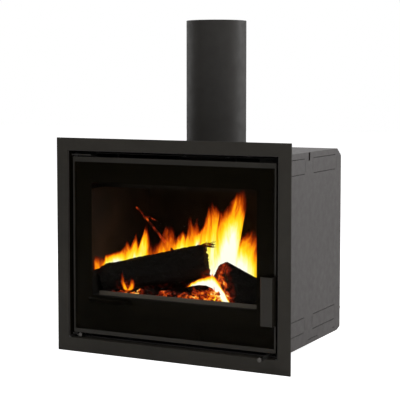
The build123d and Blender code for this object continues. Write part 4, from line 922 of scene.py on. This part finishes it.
# Single tongues: root, middle and tip, width, depth, heat, yaw
TONGUES = [
    (((127.5, 291), (120.5, 284), (124, 270)), 7, 0.066, 0.84, 0),
    (((128, 291), (135.5, 286), (131, 275)), 9, 0.068, 0.96, 10),
    (((171, 256), (168, 240), (172, 222)), 12, 0.140, 0.50, -25),
    (((145, 259), (141, 246), (147, 229)), 11, 0.130, 0.80, 30),
    (((196, 252), (194, 235), (198, 214)), 12, 0.165, 0.80, -30),
    (((212, 270), (205, 235), (213, 204)), 16, 0.165, 0.90, -40),
    (((219, 270), (226, 240), (219, 210)), 18, 0.160, 1.20, 45),
    (((230, 268), (232, 232), (241, 195)), 16, 0.150, 1.05, -35),
    (((246, 276), (244, 262), (247, 244)), 18, 0.145, 1.20, 35),
    (((253, 280), (251, 262), (256, 242)), 14, 0.150, 1.10, -30),
    (((201, 303), (197, 294), (191, 284)), 9, 0.074, 0.72, 15),
    (((214, 304), (208, 296), (205, 288)), 10, 0.070, 0.70, 0),
]


def burning_gas(name, shapes):
    """Several flames as one piece that rises with the fire bed and casts no shadow."""
    vertices, faces = joined([shape[:2] for shape in shapes])
    burning = [heat for shape in shapes for heat in shape[2]]
    made = new_piece(name, vertices, faces, FLAME, burning)
    made.visible_shadow = False
    made.visible_diffuse = False


burning_gas("flames_over_log", [flame_sheet("over", FLAMES_OVER_LOG, 0.006)])
burning_gas("flames_between", [flame_sheet("between", FLAMES_BETWEEN, 0.008)])
burning_gas("flames_on_embers", [flame_sheet("low", FLAMES_ON_EMBERS, 0.002)])
burning_gas("flames_on_stick", [flame_sheet("stick", FLAMES_ON_STICK, 0.001)])
burning_gas("flame_tongues", [tongue(*entry, number * 1.3) for number, entry in enumerate(TONGUES)])


def fire_light(name, pixel, depth, power, colour):
    """A small warm lamp among the flames."""
    lamp = bpy.data.lights.new(name, "POINT")
    lamp.energy = power
    lamp.color = colour
    lamp.shadow_soft_size = 0.03
    made = bpy.data.objects.new(name, lamp)
    made.location = seen_at(pixel, depth)
    bpy.context.scene.collection.objects.link(made)


fire_light("glow_right", (232, 240), 0.125, 0.55, (1.0, 0.42, 0.10))
fire_light("glow_left", (135, 244), 0.135, 0.12, (1.0, 0.36, 0.08))
fire_light("glow_low", (212, 287), 0.090, 0.12, (1.0, 0.30, 0.05))


# ---------------------------------------------------------------- light, floor and camera


def soft_light(name, place, aim, size, power):
    """A white rectangular softbox that points at a spot."""
    lamp = bpy.data.lights.new(name, "AREA")
    lamp.shape = "RECTANGLE"
    lamp.size, lamp.size_y = size
    lamp.energy = power
    made = bpy.data.objects.new(name, lamp)
    made.location = place
    made.rotation_euler = (Vector(aim) - Vector(place)).to_track_quat("-Z", "Y").to_euler()
    bpy.context.scene.collection.objects.link(made)


soft_light("key", (2.6, -1.9, 1.9), (0, 0, 0.35), (1.8, 1.8), 21)
soft_light("fill", (-0.4, -3.4, 2.9), (0, 0, 0.3), (2.2, 1.6), 27)
soft_light("left", (-3.0, 0.6, 1.3), (0, 0, 0.6), (1.2, 2.0), 11)
soft_light("rim", (2.4, 2.2, 1.6), (0, 0, 0.5), (1.2, 2.2), 45)
soft_light("top", (0.0, 0.3, 3.0), (0, 0, 0.5), (2.0, 2.0), 30)

WHITE = 1.0                  # a background strength that renders as white
ROOM_LIGHT = 0.08
GLOSS_LIGHT = (0.10, 0.8)    # in front of the object and behind it
GLOSS_TURN = (-0.75, 0.35)   # the directions in Y between which one passes into the other


def white_room():
    """White where the camera looks; for gloss, bright behind the object and dim in front of it."""
    world = bpy.data.worlds.new("room")
    bpy.context.scene.world = world
    world.use_nodes = True
    tree = world.node_tree
    new, link = tree.nodes.new, tree.links.new
    output = tree.nodes["World Output"]
    plain, seen, gloss = tree.nodes["Background"], new("ShaderNodeBackground"), new("ShaderNodeBackground")
    for part in (plain, seen, gloss):
        part.inputs["Color"].default_value = (1.0, 1.0, 1.0, 1.0)
    plain.inputs["Strength"].default_value = ROOM_LIGHT
    seen.inputs["Strength"].default_value = WHITE
    place = new("ShaderNodeTexCoord")
    split = new("ShaderNodeSeparateXYZ")
    link(place.outputs["Generated"], split.inputs["Vector"])
    spread = new("ShaderNodeMapRange")
    spread.interpolation_type = "SMOOTHSTEP"
    for name, value in zip(("From Min", "From Max", "To Min", "To Max"), GLOSS_TURN + GLOSS_LIGHT):
        spread.inputs[name].default_value = value
    link(split.outputs["Y"], spread.inputs["Value"])
    link(spread.outputs["Result"], gloss.inputs["Strength"])
    path = new("ShaderNodeLightPath")
    reflected = new("ShaderNodeMath")
    reflected.operation = "MAXIMUM"
    link(path.outputs["Is Glossy Ray"], reflected.inputs[0])
    link(path.outputs["Is Transmission Ray"], reflected.inputs[1])
    first = new("ShaderNodeMixShader")
    link(reflected.outputs[0], first.inputs["Fac"])
    link(plain.outputs[0], first.inputs[1])
    link(gloss.outputs[0], first.inputs[2])
    second = new("ShaderNodeMixShader")
    link(path.outputs["Is Camera Ray"], second.inputs["Fac"])
    link(first.outputs[0], second.inputs[1])
    link(seen.outputs[0], second.inputs[2])
    link(second.outputs[0], output.inputs["Surface"])


white_room()

FLOOR_HALF = 14.0
FLOOR_GAP = 0.0008


def floor_finish():
    """Pale, with white light added for the camera alone, which hides the object's shadow from it."""
    floor = Finish("floor", (0.88, 0.88, 0.875), 0.9)
    glow = floor.node("ShaderNodeEmission")
    glow.inputs["Strength"].default_value = WHITE
    path = floor.node("ShaderNodeLightPath")
    for_camera = floor.node("ShaderNodeMixShader")
    total = floor.node("ShaderNodeAddShader")
    dark = floor.node("ShaderNodeEmission")
    dark.inputs["Strength"].default_value = 0.0
    floor.feed(path.outputs["Is Camera Ray"], for_camera.inputs["Fac"])
    floor.feed(dark.outputs[0], for_camera.inputs[1])
    floor.feed(glow.outputs[0], for_camera.inputs[2])
    floor.feed(floor.shader.outputs[0], total.inputs[0])
    floor.feed(for_camera.outputs[0], total.inputs[1])
    floor.feed(total.outputs[0], floor.tree.nodes["Material Output"].inputs["Surface"])
    return floor.material


def studio_floor():
    """A wide floor just under the flange."""
    half = FLOOR_HALF
    low = FLANGE_FOOT - FLOOR_GAP
    corners = [(-half, -half, low), (half, -half, low), (half, half, low), (-half, half, low)]
    made = mesh_object("floor", corners, [(0, 1, 2, 3)], floor_finish())


studio_floor()

camera = bpy.data.objects.new("camera", bpy.data.cameras.new("camera"))
camera.location = CAMERA_PLACE
camera.rotation_euler = (math.radians(90 - CAMERA_PITCH), 0.0, math.radians(CAMERA_AZIMUTH))
camera.data.lens = CAMERA_LENS
camera.data.sensor_width = SENSOR
camera.data.shift_y = CAMERA_SHIFT
camera.data.clip_start, camera.data.clip_end = 0.05, 60.0
bpy.context.scene.collection.objects.link(camera)
bpy.context.scene.camera = camera
bpy.context.scene.view_settings.view_transform = "Standard"
